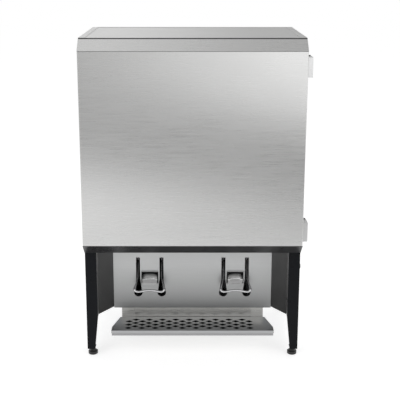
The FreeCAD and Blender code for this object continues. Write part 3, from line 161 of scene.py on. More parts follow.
class Finish(Graph):
    """One node material, with the steps that most of them share."""

    def __init__(self, name, colour, roughness, metallic=0.0, specular=0.5):
        self.material = bpy.data.materials.new(name)
        self.material.use_nodes = True
        self.material.diffuse_color = (*colour, 1.0)
        super().__init__(self.material.node_tree)
        self.shader = self.nodes["Principled BSDF"]
        self.colour(colour)
        self.roughness(roughness)
        self.shader.inputs["Metallic"].default_value = metallic
        self.shader.inputs["Specular IOR Level"].default_value = specular
        self.normal = None

    def colour(self, value):
        self.feed(self.shader.inputs["Base Color"], value)

    def roughness(self, value):
        self.feed(self.shader.inputs["Roughness"], value)

    def place(self, stretch=(1.0, 1.0, 1.0)):
        """The point on the object in metres, stretched."""
        point = self.add("TexCoord").outputs["Object"]
        return self.add("Mapping", Vector=point, Scale=stretch).outputs["Vector"]

    def noise(self, scale, detail, stretch=(1.0, 1.0, 1.0), rough=0.55):
        node = self.add("TexNoise", Vector=self.place(stretch), Scale=scale, Detail=detail, Roughness=rough)
        return node.outputs["Fac"]

    def mix(self, factor, first, second):
        """Mixes two colours."""
        node = self.nodes.new("ShaderNodeMix")
        node.data_type = "RGBA"
        ends = [socket for socket in node.inputs if socket.type == "RGBA"]
        self.feed([socket for socket in node.inputs if socket.name == "Factor"][0], factor)
        self.feed(ends[0], first)
        self.feed(ends[1], second)
        return [socket for socket in node.outputs if socket.type == "RGBA"][0]

    def bump(self, height, distance, strength):
        """Lays a bump over the ones already there."""
        node = self.add("Bump", Height=height, Distance=distance, Strength=strength)
        if self.normal is not None:
            self.feed(node.inputs["Normal"], self.normal)
        self.turn_normal(node)

    def soft_edges(self, radius):
        """Rounds the shading of sharp edges, as a bent or moulded edge shows."""
        node = self.add("Bevel", Radius=radius)
        node.samples = 4
        self.turn_normal(node)

    def turn_normal(self, node):
        self.normal = node.outputs["Normal"]
        self.feed(self.shader.inputs["Normal"], self.normal)


def shade(colour, factor):
    return tuple(min(1.0, c * factor) for c in colour)


def grain_lines(axis):
    """The stretch that draws noise out into lines along one axis."""
    return tuple(GRAIN_STRETCH if other == axis else 1.0 for other in "XYZ")


def brushed(name, colour, roughness, grain, edge=0.0008, streak=0.04, cloud=0.015, painted_low_shade=None):
    """Brushed stainless steel, with its grain along X, Y or Z. It may carry painted shade, darker
    from one height down to another, where the steel keeps a share of its brightness."""
    finish = Finish(name, colour, roughness, metallic=1.0)
    if edge:
        finish.soft_edges(edge)
    lines = finish.noise(scale=900.0, detail=2.0, stretch=grain_lines(grain))
    bands = finish.noise(scale=110.0, detail=4.0, stretch=grain_lines(grain), rough=0.7)
    smear = finish.noise(scale=7.0, detail=3.0)
    darker, paler = shade(colour, 1.0 - streak), shade(colour, 1.0 + streak)
    mixed = finish.mix(finish.span(lines, 0.3, 0.7), darker, paler)
    banding = finish.span(bands, 0.35, 0.65, to_high=0.2)
    banded = finish.mix(banding, mixed, shade(colour, 1.0 - 1.4 * streak))
    clouding = finish.span(smear, 0.35, 0.7, to_high=0.5)
    toned = finish.mix(clouding, banded, shade(colour, 1.0 - 2.0 * cloud))
    # Painted shade: darker from one height down to another, for shade that falls low on the steel.
    if painted_low_shade:
        top, bottom, kept = painted_low_shade
        wander = finish.math("MULTIPLY", smear, 0.02)
        height = finish.math("ADD", finish.coordinate("Z"), wander)
        shade_share = finish.math("DIVIDE", finish.math("SUBTRACT", top, height), top - bottom, clamp=True)
        toned = finish.mix(shade_share, toned, shade(colour, kept))
    finish.colour(toned)
    rough = finish.span(lines, 0.3, 0.7, to_low=roughness - 0.035, to_high=roughness + 0.035)
    haze = finish.span(smear, 0.3, 0.7, to_low=-0.01, to_high=0.01)
    finish.roughness(finish.math("ADD", rough, haze))
    finish.bump(lines, distance=0.00002, strength=0.25)
    return finish.material


def enamel(name, colour, roughness, specular=0.5, painted_light=None):
    """Sprayed paint: a fine orange peel, a little dust and rubbed patches. It may carry painted
    light: a paler tone from one height up to another, over all of it or within a reach of the object's
    middle."""
    finish = Finish(name, colour, roughness, specular=specular)
    finish.soft_edges(0.0008)
    ripple = finish.noise(scale=700.0, detail=2.0)
    patch = finish.noise(scale=14.0, detail=4.0)
    specks = finish.noise(scale=1900.0, detail=1.0)
    dusty, speck = shade(colour, 1.6), shade(colour, 3.0)
    toned = finish.mix(finish.span(patch, 0.35, 0.7, to_high=0.35), colour, dusty)
    toned = finish.mix(finish.span(specks, 0.66, 0.78, to_high=0.25), toned, speck)
    # Painted light: paler upward, for light that falls on these faces.
    if painted_light:
        reach, bottom, top, lit_tone = painted_light
        height = finish.math("SUBTRACT", finish.coordinate("Z"), bottom)
        share = finish.math("DIVIDE", height, top - bottom, clamp=True)
        if reach:
            out = finish.math("ABSOLUTE", finish.math("SUBTRACT", finish.coordinate("X"), CENTRE_X))
            share = finish.math("MULTIPLY", share, finish.math("LESS_THAN", out, reach))
        toned = finish.mix(share, toned, lit_tone)
    finish.colour(toned)
    finish.roughness(finish.span(patch, 0.3, 0.7, to_low=roughness - 0.04, to_high=roughness + 0.06))
    finish.bump(ripple, distance=0.00004, strength=0.5)
    return finish.material


def plastic(name, colour, roughness, grain=500.0, edge=0.0006, tone=0.1):
    """Moulded plastic or rubber with a fine leather-like texture."""
    finish = Finish(name, colour, roughness)
    if edge:
        finish.soft_edges(edge)
    cells = finish.add("TexVoronoi", Vector=finish.place(), Scale=grain)
    cells.feature = "SMOOTH_F1"
    patch = finish.noise(scale=11.0, detail=3.0)
    darker, paler = shade(colour, 1.0 - tone), shade(colour, 1.0 + tone)
    finish.colour(finish.mix(finish.span(patch, 0.3, 0.75), darker, paler))
    finish.roughness(finish.span(patch, 0.3, 0.7, to_low=roughness - 0.04, to_high=roughness + 0.05))
    finish.bump(cells.outputs["Distance"], distance=0.00006, strength=0.5)
    return finish.material


def zinc(name, colour, roughness):
    """Galvanised sheet, with its crystals 8 to 15 mm across."""
    finish = Finish(name, colour, roughness, metallic=1.0)
    finish.soft_edges(0.0006)
    bent = finish.noise(scale=60.0, detail=2.0)
    crystals = finish.add("TexVoronoi", Vector=finish.place(), Scale=95.0)
    grey = finish.add("SeparateXYZ", Vector=crystals.outputs["Color"]).outputs["X"]
    darker, paler = shade(colour, 0.82), shade(colour, 1.15)
    toned = finish.mix(finish.span(grey, 0.1, 0.9), darker, paler)
    finish.colour(finish.mix(finish.span(bent, 0.3, 0.7, to_high=0.3), toned, colour))
    finish.roughness(finish.span(grey, 0.1, 0.9, to_low=roughness - 0.07, to_high=roughness + 0.09))
    finish.bump(grey, distance=0.00002, strength=0.4)
    return finish.material


def plated(name, colour, roughness, rubbed=0.1):
    """Plated or polished metal with faint rubbing marks."""
    finish = Finish(name, colour, roughness, metallic=1.0)
    finish.soft_edges(0.0004)
    marks = finish.noise(scale=260.0, detail=5.0, stretch=(1.0, 0.3, 1.0), rough=0.7)
    darker = shade(colour, 1.0 - rubbed)
    finish.colour(finish.mix(finish.span(marks, 0.45, 0.75, to_high=0.6), colour, darker))
    finish.roughness(finish.span(marks, 0.35, 0.75, to_low=roughness, to_high=roughness + 0.12))
    finish.bump(marks, distance=0.00001, strength=0.3)
    return finish.material


def foam_core(name, colour):
    """Rigid foam with open cells, seen only on a cut edge."""
    finish = Finish(name, colour, roughness=0.9)
    cells = finish.add("TexVoronoi", Vector=finish.place(), Scale=900.0)
    cloud = finish.noise(scale=20.0, detail=4.0)
    darker, paler = shade(colour, 0.85), shade(colour, 1.05)
    finish.colour(finish.mix(finish.span(cloud, 0.3, 0.7), darker, paler))
    finish.bump(cells.outputs["Distance"], distance=0.0003, strength=0.6)
    return finish.material


def tray_pan_finish(name, steel, inside_colour):
    """The pan is steel outside, and nearly black inside, under the grille."""
    finish = Finish(name, steel, roughness=0.35, metallic=1.0)
    low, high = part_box("tray_pan")
    sheet = 0.0009
    limits = (("X", low.x + sheet, high.x - sheet), ("Y", low.y + sheet, high.y - sheet),
              ("Z", low.z + sheet / 2.0, high.z + sheet))
    inside = None
    for axis, bottom, top in limits:
        value = finish.coordinate(axis)
        above = finish.math("GREATER_THAN", value, bottom)
        below = finish.math("LESS_THAN", value, top)
        both = finish.math("MULTIPLY", above, below)
        inside = both if inside is None else finish.math("MULTIPLY", inside, both)
    lines = finish.noise(scale=900.0, detail=2.0, stretch=grain_lines("X"))
    clean = finish.mix(finish.span(lines, 0.3, 0.7), shade(steel, 0.94), shade(steel, 1.05))
    inside_toned = finish.mix(finish.noise(scale=35.0, detail=4.0), inside_colour, shade(inside_colour, 1.8))
    finish.colour(finish.mix(inside, clean, inside_toned))
    rough = finish.span(lines, 0.3, 0.7, to_low=0.3, to_high=0.38)
    crust = finish.math("MULTIPLY", inside, 0.3)
    finish.roughness(finish.math("ADD", crust, rough))
    finish.bump(lines, distance=0.00002, strength=0.25)
    return finish.material


def dress(nodes, material):
    """Puts a material in every slot of the named CAD nodes."""
    for name in nodes:
        data = NODES[name].data
        if not data.materials:
            data.materials.append(material)
        for index in range(len(data.materials)):
            data.materials[index] = material


def dress_steel():
    steel = (0.57, 0.57, 0.565)
    dress(["door_skin", "door_top_trim"],
          brushed("stainless_front", (0.66, 0.66, 0.655), 0.3, "X", streak=0.024, cloud=0.01))
    dress(["outer_shell", "top_cover", "bottom_panel"], brushed("stainless_shell", steel, 0.32, "X"))
    # Painted shade: the splash panel is painted darker towards the bottom.
    dress(["splash_panel"],
          brushed("stainless_splash", (0.47, 0.475, 0.475), 0.36, "X", painted_low_shade=(0.287, 0.157, 0.58)))
    dress(["tray_grille"], brushed("stainless_tray", (0.42, 0.425, 0.43), 0.34, "X"))
    # Painted light: the bracket's steel is paler than the rest, for brighter reflections than it gets.
    dress(["tray_bracket"], brushed("stainless_bracket_painted_light", (0.78, 0.77, 0.74), 0.3, "X"))
    dress(["outlet_sleeves"], brushed("stainless_sleeve", steel, 0.3, "Z", edge=0.0))
    dress(["inner_liner"], brushed("liner_steel", (0.64, 0.64, 0.635), 0.36, "Z"))
    dress(["tray_pan"], tray_pan_finish("stainless_pan", (0.34, 0.34, 0.345), inside_colour=(0.012, 0.012, 0.012)))
    dress(["left_side_panel", "right_side_panel", "rear_grille", "base_pan"],
          zinc("galvanised", (0.42, 0.43, 0.44), 0.42))


def dress_black():
    margin = 0.0004
    # Painted light: the legs' inner faces and the wings are painted paler towards the top.
    leg_inner_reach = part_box("front_right_leg")[0].x - CENTRE_X + margin
    dress(["door_bottom_trim"], plastic("black_trim", (0.022, 0.022, 0.024), 0.3, grain=650.0))
    dress(["front_left_leg", "front_right_leg", "rear_left_leg", "rear_right_leg"],
          enamel("black_enamel", (0.0035, 0.0042, 0.006), 0.3, specular=0.13,
                 painted_light=(leg_inner_reach, 0.06, 0.36, (0.3, 0.3, 0.3))))
    dress(["left_wing", "right_wing"],
          enamel("wing_enamel_painted_light", (0.03, 0.03, 0.03), 0.36, painted_light=(0.0, 0.1, 0.36, (0.12, 0.12, 0.12))))
    dress(["front_left_foot", "front_right_foot", "rear_left_foot", "rear_right_foot"],
          enamel("foot_steel", (0.012, 0.012, 0.012), 0.4))
    dress(["leg_plug"], plastic("plug_plastic", (0.012, 0.012, 0.012), 0.35))


def dress_hinges():
    dress(["upper_hinge_leaf", "lower_hinge_leaf", "upper_hinge_bracket", "lower_hinge_bracket"],
          plated("hinge_metal", (0.66, 0.66, 0.66), 0.28))
    dress(["hinge_pins"], plated("pin_metal", (0.12, 0.12, 0.12), 0.35))
    dress(["cabinet_screws", "door_screws"], plated("screw_steel", (0.6, 0.6, 0.6), 0.25))


def dress_valves():
    dress(["left_valve_body", "right_valve_body", "pivot_pins"],
          brushed("stainless_valve", (0.5, 0.5, 0.5), 0.35, "Z"))
    dress(["left_spout", "right_spout"], brushed("stainless_spout", (0.56, 0.56, 0.56), 0.26, "X"))
    dress(["left_handle_yoke", "right_handle_yoke"], plated("handle_metal", (0.22, 0.22, 0.225), 0.3))
    dress(["left_handle_bar", "right_handle_bar"],
          plated("bar_chrome", (0.84, 0.84, 0.85), 0.1, rubbed=0.05))


def dress_inside():
    dress(["front_frame", "door_liner"],
          plastic("frame_plastic", (0.7, 0.7, 0.685), 0.42, grain=380.0, tone=0.02))
    dress(["cabinet_foam", "door_foam"], foam_core("foam", (0.8, 0.72, 0.45)))
    dress(["door_gasket"], plastic("gasket_rubber", (0.06, 0.06, 0.062), 0.6, grain=800.0))
    dress(["compressor_mounts"], plastic("mount_rubber", (0.02, 0.02, 0.02), 0.8))
    dress(["compressor"], enamel("compressor_paint", (0.012, 0.012, 0.012), 0.2, specular=0.6))
    dress(["fan_motor"], enamel("motor_paint", (0.03, 0.03, 0.032), 0.4))
    dress(["condenser", "evaporator_plate"], brushed("coil_aluminium", (0.72, 0.73, 0.74), 0.42, "Z"))
    dress(["fan_blade"], plated("fan_aluminium", (0.24, 0.24, 0.245), 0.45))
    dress(["discharge_line", "suction_line"], plated("copper", (0.72, 0.4, 0.27), 0.3, rubbed=0.35))
    dress(["thermostat", "thermostat_knob", "cord_gland"],
          plastic("control_plastic", (0.02, 0.02, 0.021), 0.4, grain=900.0))


# Pieces with more detail than their solids

def piece_from(name, shape, material, body, smooth=True):
    """Makes a piece, with its faces turned outward, that rides on a body."""
    mesh = bpy.data.meshes.new(name)
    build = bmesh.new()
    corners = [build.verts.new(v) for v in shape.vertices]
    for face in shape.faces:
        build.faces.new([corners[i] for i in face]).smooth = smooth
    bmesh.ops.recalc_face_normals(build, faces=build.faces)
    build.to_mesh(mesh)
    build.free()
    mesh.materials.append(material)
    piece = bpy.data.objects.new(name, mesh)
    SCENE.collection.objects.link(piece)
    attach(piece, body)
    return piece


def rounded(piece, width):
    modifier = piece.modifiers.new("rounded", "BEVEL")
    modifier.width = width
    modifier.segments = 2
    modifier.limit_method = "ANGLE"
    modifier.angle_limit = math.radians(40.0)


class Shape:
    """Vertices and faces that build up into one mesh."""

    def __init__(self):
        self.vertices = []
        self.faces = []

    def ring_run(self, rings, looped=False):
        """Joins rings of as many points each, in order, and closes the run's ends or loops it."""
        first = len(self.vertices)
        count = len(rings[0])
        for ring in rings:
            self.vertices.extend(ring)
        joins = len(rings) if looped else len(rings) - 1
        for i in range(joins):
            near = first + i * count
            far = first + (i + 1) % len(rings) * count
            for j in range(count):
                k = (j + 1) % count
                self.faces.append((near + j, near + k, far + k, far + j))
        if not looped:
            last_ring = first + (len(rings) - 1) * count
            self.faces.append(tuple(range(first, first + count)))
            self.faces.append(tuple(range(last_ring, last_ring + count)))

    def plate(self, outline, axis, low, high):
        """Extrudes an outline along X, Y or Z. Its points are in the other two, in that order."""
        first, second = (i for i in range(3) if i != "XYZ".index(axis))
        rings = []
        for level in (low, high):
            ring = []
            for a, b in outline:
                point = [level, level, level]
                point[first], point[second] = a, b
                ring.append(Vector(point))
            rings.append(ring)
        self.ring_run(rings)


def smooth_path(points, steps):
    """A Catmull-Rom curve through the points."""
    ends = [points[0] * 2 - points[1], *points, points[-1] * 2 - points[-2]]
    path = []
    for a, b, c, d in zip(ends, ends[1:], ends[2:], ends[3:]):
        for i in range(steps):
            t = i / steps
            path.append(0.5 * (2 * b + (c - a) * t + (2 * a - 5 * b + 4 * c - d) * t ** 2
                               + (3 * b - a - 3 * c + d) * t ** 3))
    return [*path, points[-1]]


def superellipse(half_wide, half_thick, power):
    """An outline between a rounded rectangle (high power) and an ellipse (2)."""
    count = 20
    outline = []
    for i in range(count):
        angle = 2 * math.pi * (i + 0.5) / count
        across, up = math.cos(angle), math.sin(angle)
        outline.append((half_wide * math.copysign(abs(across) ** (2 / power), across),
                        half_thick * math.copysign(abs(up) ** (2 / power), up)))
    return outline


def swept_rings(path, side, section):
    """Rings along a path: section(t) is an outline across side and across what is square to it."""
    rings = []
    for i, point in enumerate(path):
        ahead = (path[min(i + 1, len(path) - 1)] - path[max(i - 1, 0)]).normalized()
        wide = ahead.cross(side).normalized()
        thick = wide.cross(ahead)
        rings.append([point + wide * a + thick * b for a, b in section(i / (len(path) - 1))])
    return rings


def between(first, second, share):
    return first + (second - first) * share


def strap_section(share):
    """The strap's outline: flat at the pivot, and rounded off over its last part, by the bar."""
    turn = max(0.0, min(1.0, (share - 0.55) / 0.4))
    turn = turn * turn * (3 - 2 * turn)
    return superellipse(between(STRAP_HALF_WIDE, STRAP_END_HALF, turn),
                        between(STRAP_HALF_THICK, STRAP_END_HALF, turn), between(5.0, 2.0, turn))


def make_yoke(hand, middle, metal):
    """Two flared straps on lugs, which turn about the pivot pin, with a web across them."""
    web_y = SPLASH_FRONT + 0.0215
    web_deep = 0.01
    web_low, web_high = PIVOT_Z + 0.021, PIVOT_Z + 0.024
    lug_top = PIVOT_Z + 0.025
    strap_bends = [(0.0, PIVOT_Y - 0.004, PIVOT_Z - 0.004), (0.0, PIVOT_Y - 0.022, PIVOT_Z - 0.026),
                   (0.0, SPLASH_FRONT - 0.0105, PIVOT_Z - 0.05),
                   (0.0035, SPLASH_FRONT - 0.0245, BAR_Z + 0.027),
                   (0.0085, BAR_Y + 0.0035, BAR_Z + 0.014), (0.0098, BAR_Y, BAR_Z + 0.0075)]
    lug = [(web_y, lug_top), (web_y + 0.012, lug_top), (PIVOT_Y + 0.008, PIVOT_Z + 0.008),
           (PIVOT_Y + 0.008, PIVOT_Z - 0.006), (PIVOT_Y - 0.006, PIVOT_Z - 0.016),
           (PIVOT_Y - 0.016, PIVOT_Z - 0.003), (web_y, PIVOT_Z + 0.014)]
    shape = Shape()
    for way in (-1, 1):
        bends = [Vector((middle + way * (ARM_REACH + flare), y, z)) for flare, y, z in strap_bends]
        path = smooth_path(bends, steps=7)
        shape.ring_run(swept_rings(path, Vector((1.0, 0.0, 0.0)), strap_section))
        outer = middle + way * (ARM_REACH + STRAP_HALF_THICK)
        shape.plate(lug, "X", outer, outer - way * 2 * STRAP_HALF_THICK)
    wide = ARM_REACH + STRAP_HALF_THICK
    web = [(middle - wide, web_y), (middle + wide, web_y), (middle + wide, web_y + web_deep),
           (middle - wide, web_y + web_deep)]
    shape.plate(web, "Z", web_low, web_high)
    yoke = piece_from(f"{hand}_bail_yoke", shape, metal, f"{hand}_handle")
    rounded(yoke, 0.0005)
    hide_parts(f"{hand}_handle_yoke")


def make_bar(hand, middle, metal):
    """A round bar, bowed up in its middle, with its ends turned up into the straps."""
    half_bow = [(0.0, 0.0048), (0.012, 0.0042), (0.0225, 0.0023), (0.031, 0.0006), (0.0385, 0.0),
                (0.0448, 0.0018), (0.0482, 0.0063), (0.0486, 0.0095)]
    bow = [(-x, rise) for x, rise in reversed(half_bow[1:])] + half_bow
    path = smooth_path([Vector((middle + x, BAR_Y, BAR_Z + rise)) for x, rise in bow], steps=5)
    shape = Shape()
    section = superellipse(BAR_RADIUS, BAR_RADIUS, 2.0)
    shape.ring_run(swept_rings(path, Vector((0.0, 1.0, 0.0)), lambda share: section))
    bar = piece_from(f"{hand}_bail_bar", shape, metal, f"{hand}_handle")
    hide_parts(f"{hand}_handle_bar")


def spout_arc(radius, steps):
    """Points (y, z) over the spout's top, from straight above its axis forward to the fold."""
    angles = [SPOUT_FOLD * i / steps for i in range(steps + 1)]
    return [(SPOUT_AXIS_Y - radius * math.sin(a), SPOUT_AXIS_Z + radius * math.cos(a)) for a in angles]


def make_guide(hand, middle, metal):
    """A domed guide, lower towards its sides, above a crease, and a flat drip lip below it."""
    columns = 24
    dome_steps = 14
    lip_steps = 4
    side_drop = 0.0055
    drop_power = 2.6
    lip_half_wide = 0.0252
    lip_taper = 0.0016
    lip_low = SPOUT_AXIS_Z + SPOUT_CLEAR
    crease_deep = 0.0009
    crease_tall = 0.0012
    shares = [2 * j / columns - 1 for j in range(columns + 1)]
    domes = [spout_arc(SPOUT_RADIUS - side_drop * abs(u) ** drop_power, dome_steps) for u in shares]
    rows = [[(middle + SPOUT_HALF_WIDE * u, *dome[i]) for u, dome in zip(shares, domes)]
            for i in range(dome_steps + 1)]
    fold_y, fold_z = spout_arc(SPOUT_RADIUS, steps=1)[1]
    for i in range(lip_steps + 1):
        share = i / lip_steps
        half = lip_half_wide - lip_taper * share
        y = between(fold_y, SPOUT_AXIS_Y - SPOUT_RADIUS, share) + crease_deep * (1 - share)
        z = between(fold_z - crease_tall, lip_low, share)
        rows.append([(middle + half * u, y, z) for u in shares])
    shape = Shape()
    shape.vertices = [Vector(point) for row in rows for point in row]
    wide = columns + 1
    shape.faces = [(i * wide + j, i * wide + j + 1, (i + 1) * wide + j + 1, (i + 1) * wide + j)
                   for i in range(len(rows) - 1) for j in range(columns)]
    guide = piece_from(f"{hand}_spout_guide", shape, metal, "cabinet")
    thick = guide.modifiers.new("sheet", "SOLIDIFY")
    thick.thickness = SPOUT_SHEET
    thick.offset = -1.0
    rounded(guide, 0.0003)
    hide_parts(f"{hand}_spout")


def make_cheeks(hand, middle, metal):
    """The two side walls of the spout, and the plate behind the drip lip."""
    inner_radius = 0.031
    cheek_reach = 0.0242
    cheek_thick = 0.0015
    backing_top = SPOUT_AXIS_Z - 0.0022
    foot_deep = 0.008
    rear = SPLASH_FRONT + 0.00145
    lip_foot = SPOUT_AXIS_Z + 0.0004
    outline = spout_arc(inner_radius, steps=8)
    outline += [(SPOUT_AXIS_Y - SPOUT_RADIUS + SPOUT_SHEET, lip_foot), (rear, lip_foot), (rear, SPOUT_FOOT),
                (rear + foot_deep, SPOUT_FOOT), (SPOUT_AXIS_Y, SPOUT_AXIS_Z)]
    shape = Shape()
    for way in (-1, 1):
        edge = middle + way * cheek_reach
        shape.plate(outline, "X", edge, edge - way * cheek_thick)
    backing = [(middle - SPOUT_HALF_WIDE, SPOUT_FOOT), (middle + SPOUT_HALF_WIDE, SPOUT_FOOT),
               (middle + SPOUT_HALF_WIDE, backing_top), (middle - SPOUT_HALF_WIDE, backing_top)]
    shape.plate(backing, "Y", rear, rear + cheek_thick)
    cheeks = piece_from(f"{hand}_spout_cheeks", shape, metal, "cabinet", smooth=False)
    rounded(cheeks, 0.0002)


def make_seams(rubber):
    """Dark beads in the two seams round the door, and the lip along its top edge. Their near-black colour
    is painted shade, for the shade in the seams and along the edge.
    """
    trim_low, trim_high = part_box("door_top_trim")
    base_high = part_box("door_bottom_trim")[1]
    inset = 0.0003
    bead = 0.0022
    clear = 0.00005
    back_inset = 0.003
    left, right = DOOR_LOW.x + inset, DOOR_HIGH.x - inset
    front, back = DOOR_LOW.y + inset, DOOR_HIGH.y - back_inset
    outline = [(left, back), (left, front), (right, front), (right, back), (right - bead, back),
               (right - bead, front + bead), (left + bead, front + bead), (left + bead, back)]
    for name, low, high in (("door_upper_seam", DOOR_HIGH.z, trim_low.z),
                            ("door_lower_seam", base_high.z, DOOR_LOW.z)):
        shape = Shape()
        shape.plate(outline, "Z", low + clear, high - clear)
        rounded(piece_from(name, shape, rubber, "door", smooth=False), 0.0002)

    proud, sunk = 0.0004, 0.0006
    below_edge = 0.0009
    lip_tall = 0.0042
    slope = Vector((0.0, trim_high.y - trim_low.y, trim_high.z - trim_low.z)).normalized()
    outward = Vector((0.0, -slope.z, slope.y))
    top = Vector((0.0, trim_high.y, trim_high.z)) - slope * below_edge
    foot = top - slope * lip_tall
    corners = [top - outward * sunk, top + outward * proud, foot + outward * proud, foot - outward * sunk]
    shape = Shape()
    shape.plate([(c.y, c.z) for c in corners], "X", trim_low.x + inset, trim_high.x - inset)
    rounded(piece_from("door_top_lip", shape, rubber, "door", smooth=False), 0.0003)


def make_gasket(rubber):
    """The door gasket: a magnet tube on a bellows with three folds, mitred at the corners. The
    profile is in metres across the seal, and in shares of its depth."""
    low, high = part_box("door_gasket")
    deep = high.y - low.y
    profile = [(0.0, 0.0), (0.0125, 0.0), (0.0125, 0.08), (0.0105, 0.16), (0.0125, 0.28), (0.0105, 0.4),
               (0.0125, 0.52), (0.0125, 0.92), (0.0115, 1.0), (0.0015, 1.0), (0.0005, 0.92), (0.0005, 0.52),
               (0.002, 0.4), (0.0005, 0.28), (0.002, 0.16), (0.0, 0.08)]
    rings = []
    for across, up in ((-1, -1), (1, -1), (1, 1), (-1, 1)):
        x = low.x if across < 0 else high.x
        z = low.z if up < 0 else high.z
        rings.append([Vector((x - across * a, low.y + deep * b, z - up * a)) for a, b in profile])
    shape = Shape()
    shape.ring_run(rings, looped=True)
    gasket = piece_from("door_gasket_bellows", shape, rubber, "door", smooth=False)
    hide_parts("door_gasket")


def loose_parts(node):
    """The points of each of a CAD node's separate solids, in the order of the solids' middles."""
    shape = bmesh.new()
    shape.from_mesh(NODES[node].data)
    bmesh.ops.remove_doubles(shape, verts=shape.verts, dist=0.00001)
    left = set(shape.verts)
    parts = []
    while left:
        stack = [left.pop()]
        found = []
        while stack:
            vertex = stack.pop()
            found.append(vertex.co.copy())
            for edge in vertex.link_edges:
                other = edge.other_vert(vertex)
                if other in left:
                    left.remove(other)
                    stack.append(other)
        parts.append(found)
    shape.free()
    return sorted(parts, key=lambda part: tuple(round(sum(axis) / len(part), 4) for axis in zip(*part)))


def screw_rings(part):
    """Rings of a pan head with a cross recess, from its middle to its rim, then down the shank.
    The part is the plain screw's points."""
    turns = 32
    recess_half_wide = 0.11
    recess_reach = 0.55
    recess_deep = 0.55
    near_rim, off_axis = 0.9, 0.2
    # Each level of the head: its share of the radius, and of the way from the top to the seat
    levels = ((0.16, 0.0), (0.2, 0.0), (0.36, 0.02), (0.52, 0.06), (0.58, 0.08), (0.72, 0.16), (0.86, 0.36),
              (0.96, 0.66), (1.0, 1.0))
    low = Vector([min(v[i] for v in part) for i in range(3)])
    high = Vector([max(v[i] for v in part) for i in range(3)])
    size = high - low
    axis = max(range(3), key=lambda i: abs(size[i] - sorted(size)[1]))
    first, second = (i for i in range(3) if i != axis)
    centre = (low + high) / 2
    head = max(size[first], size[second]) / 2

    def reach(vertex):
        return math.hypot(vertex[first] - centre[first], vertex[second] - centre[second])

    rim = [v[axis] for v in part if reach(v) > head * near_rim]
    shank = min(reach(v) for v in part if reach(v) > head * off_axis)
    if sum(rim) / len(rim) > centre[axis]:
        top, seat, tip = high[axis], min(rim), low[axis]
    else:
        top, seat, tip = low[axis], max(rim), high[axis]

    def at(radius, turn, level):
        angle = 2 * math.pi * turn / turns
        point = centre.copy()
        point[first] += math.cos(angle) * radius
        point[second] += math.sin(angle) * radius
        point[axis] = level
        return point

    rings = []
    for share, drop in levels:
        ring = []
        for turn in range(turns):
            angle = 2 * math.pi * turn / turns
            off_cross = min(abs(math.cos(angle)), abs(math.sin(angle))) * share
            in_recess = off_cross < recess_half_wide and share < recess_reach
            fall = max(drop, recess_deep) if in_recess else drop
            ring.append(at(head * share, turn, between(top, seat, fall)))
        rings.append(ring)
    rings += [[at(shank, turn, level) for turn in range(turns)] for level in (seat, tip)]
    return rings


def make_screws(node, body, metal):
    """A screw with a cross recess for each of the node's solids."""
    shape = Shape()
    for part in loose_parts(node):
        shape.ring_run(screw_rings(part))
    screws = piece_from(f"{node}_cross_head", shape, metal, body, smooth=False)
    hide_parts(node)


def make_details():
    strap_metal = plated("strap_metal", (0.2, 0.2, 0.205), 0.26)
    bar_metal = plated("bail_chrome", (0.62, 0.62, 0.63), 0.12, rubbed=0.05)
    spout_metal = brushed("spout_steel", (0.52, 0.52, 0.52), 0.24, "X", edge=0.0)
    # Painted shade: the seam rubber's near-black colour stands in for the shade in the door's seams and
    # along its top edge.
    seam_rubber_painted_shade = plastic("seam_rubber_painted_shade", (0.02, 0.02, 0.021), 0.5, grain=900.0, edge=0.0)
    bellows_rubber = plastic("bellows_rubber", (0.06, 0.06, 0.062), 0.55, grain=800.0, edge=0.0)
    screw_metal = plated("screw_metal", (0.6, 0.6, 0.6), 0.25)
    for hand in ("left", "right"):
        middle = PIVOTS[f"{hand}_handle_lift"][0]
        make_yoke(hand, middle, strap_metal)
        make_bar(hand, middle, bar_metal)
        make_guide(hand, middle, spout_metal)
        make_cheeks(hand, middle, spout_metal)
    make_seams(seam_rubber_painted_shade)
    make_gasket(bellows_rubber)
    make_screws("cabinet_screws", "cabinet", screw_metal)
    make_screws("door_screws", "door", screw_metal)


# Floor, lights and what the metal mirrors

def make_world():
    """A white world, which is seen brighter than it lights."""
    lit, seen = 0.62, 1.0
    world = bpy.data.worlds.new("world")
    world.use_nodes = True
    SCENE.world = world
    graph = Graph(world.node_tree)
    background = graph.nodes["Background"]
    graph.feed(background.inputs["Color"], (1.0, 1.0, 1.0))
    graph.feed(background.inputs["Strength"], graph.blend(graph.seen_rays(), lit, seen))


def stage_material(name):
    """A material for the stage, and its empty graph."""
    material = bpy.data.materials.new(name)
    material.use_nodes = True
    graph = Graph(material.node_tree)
    graph.nodes.clear()
    return material, graph


def sheet_object(name, corners, material):
    mesh = bpy.data.meshes.new(name)
    mesh.from_pydata(corners, [], [tuple(range(len(corners)))])
    mesh.materials.append(material)
    piece = bpy.data.objects.new(name, mesh)
    SCENE.collection.objects.link(piece)
    return piece


def make_floor():
    """Pale paper that keeps the shadow, lifted to white where it is seen."""
    reach = 14.0
    grey = 0.61
    lift = 0.62
    material, graph = stage_material("floor_paper")
    paper = graph.add("BsdfDiffuse", Color=(grey, grey, grey))
    strength = graph.math("MULTIPLY", graph.seen_rays(), lift)
    glow = graph.add("Emission", Color=(1.0, 1.0, 1.0), Strength=strength)
    both = graph.add("AddShader")
    graph.feed(both.inputs[0], paper.outputs[0])
    graph.feed(both.inputs[1], glow.outputs[0])
    graph.add("OutputMaterial", Surface=both.outputs[0])
    corners = [(-reach, -reach, 0.0), (reach, -reach, 0.0), (reach, reach, 0.0), (-reach, reach, 0.0)]
    sheet_object("floor", corners, material)


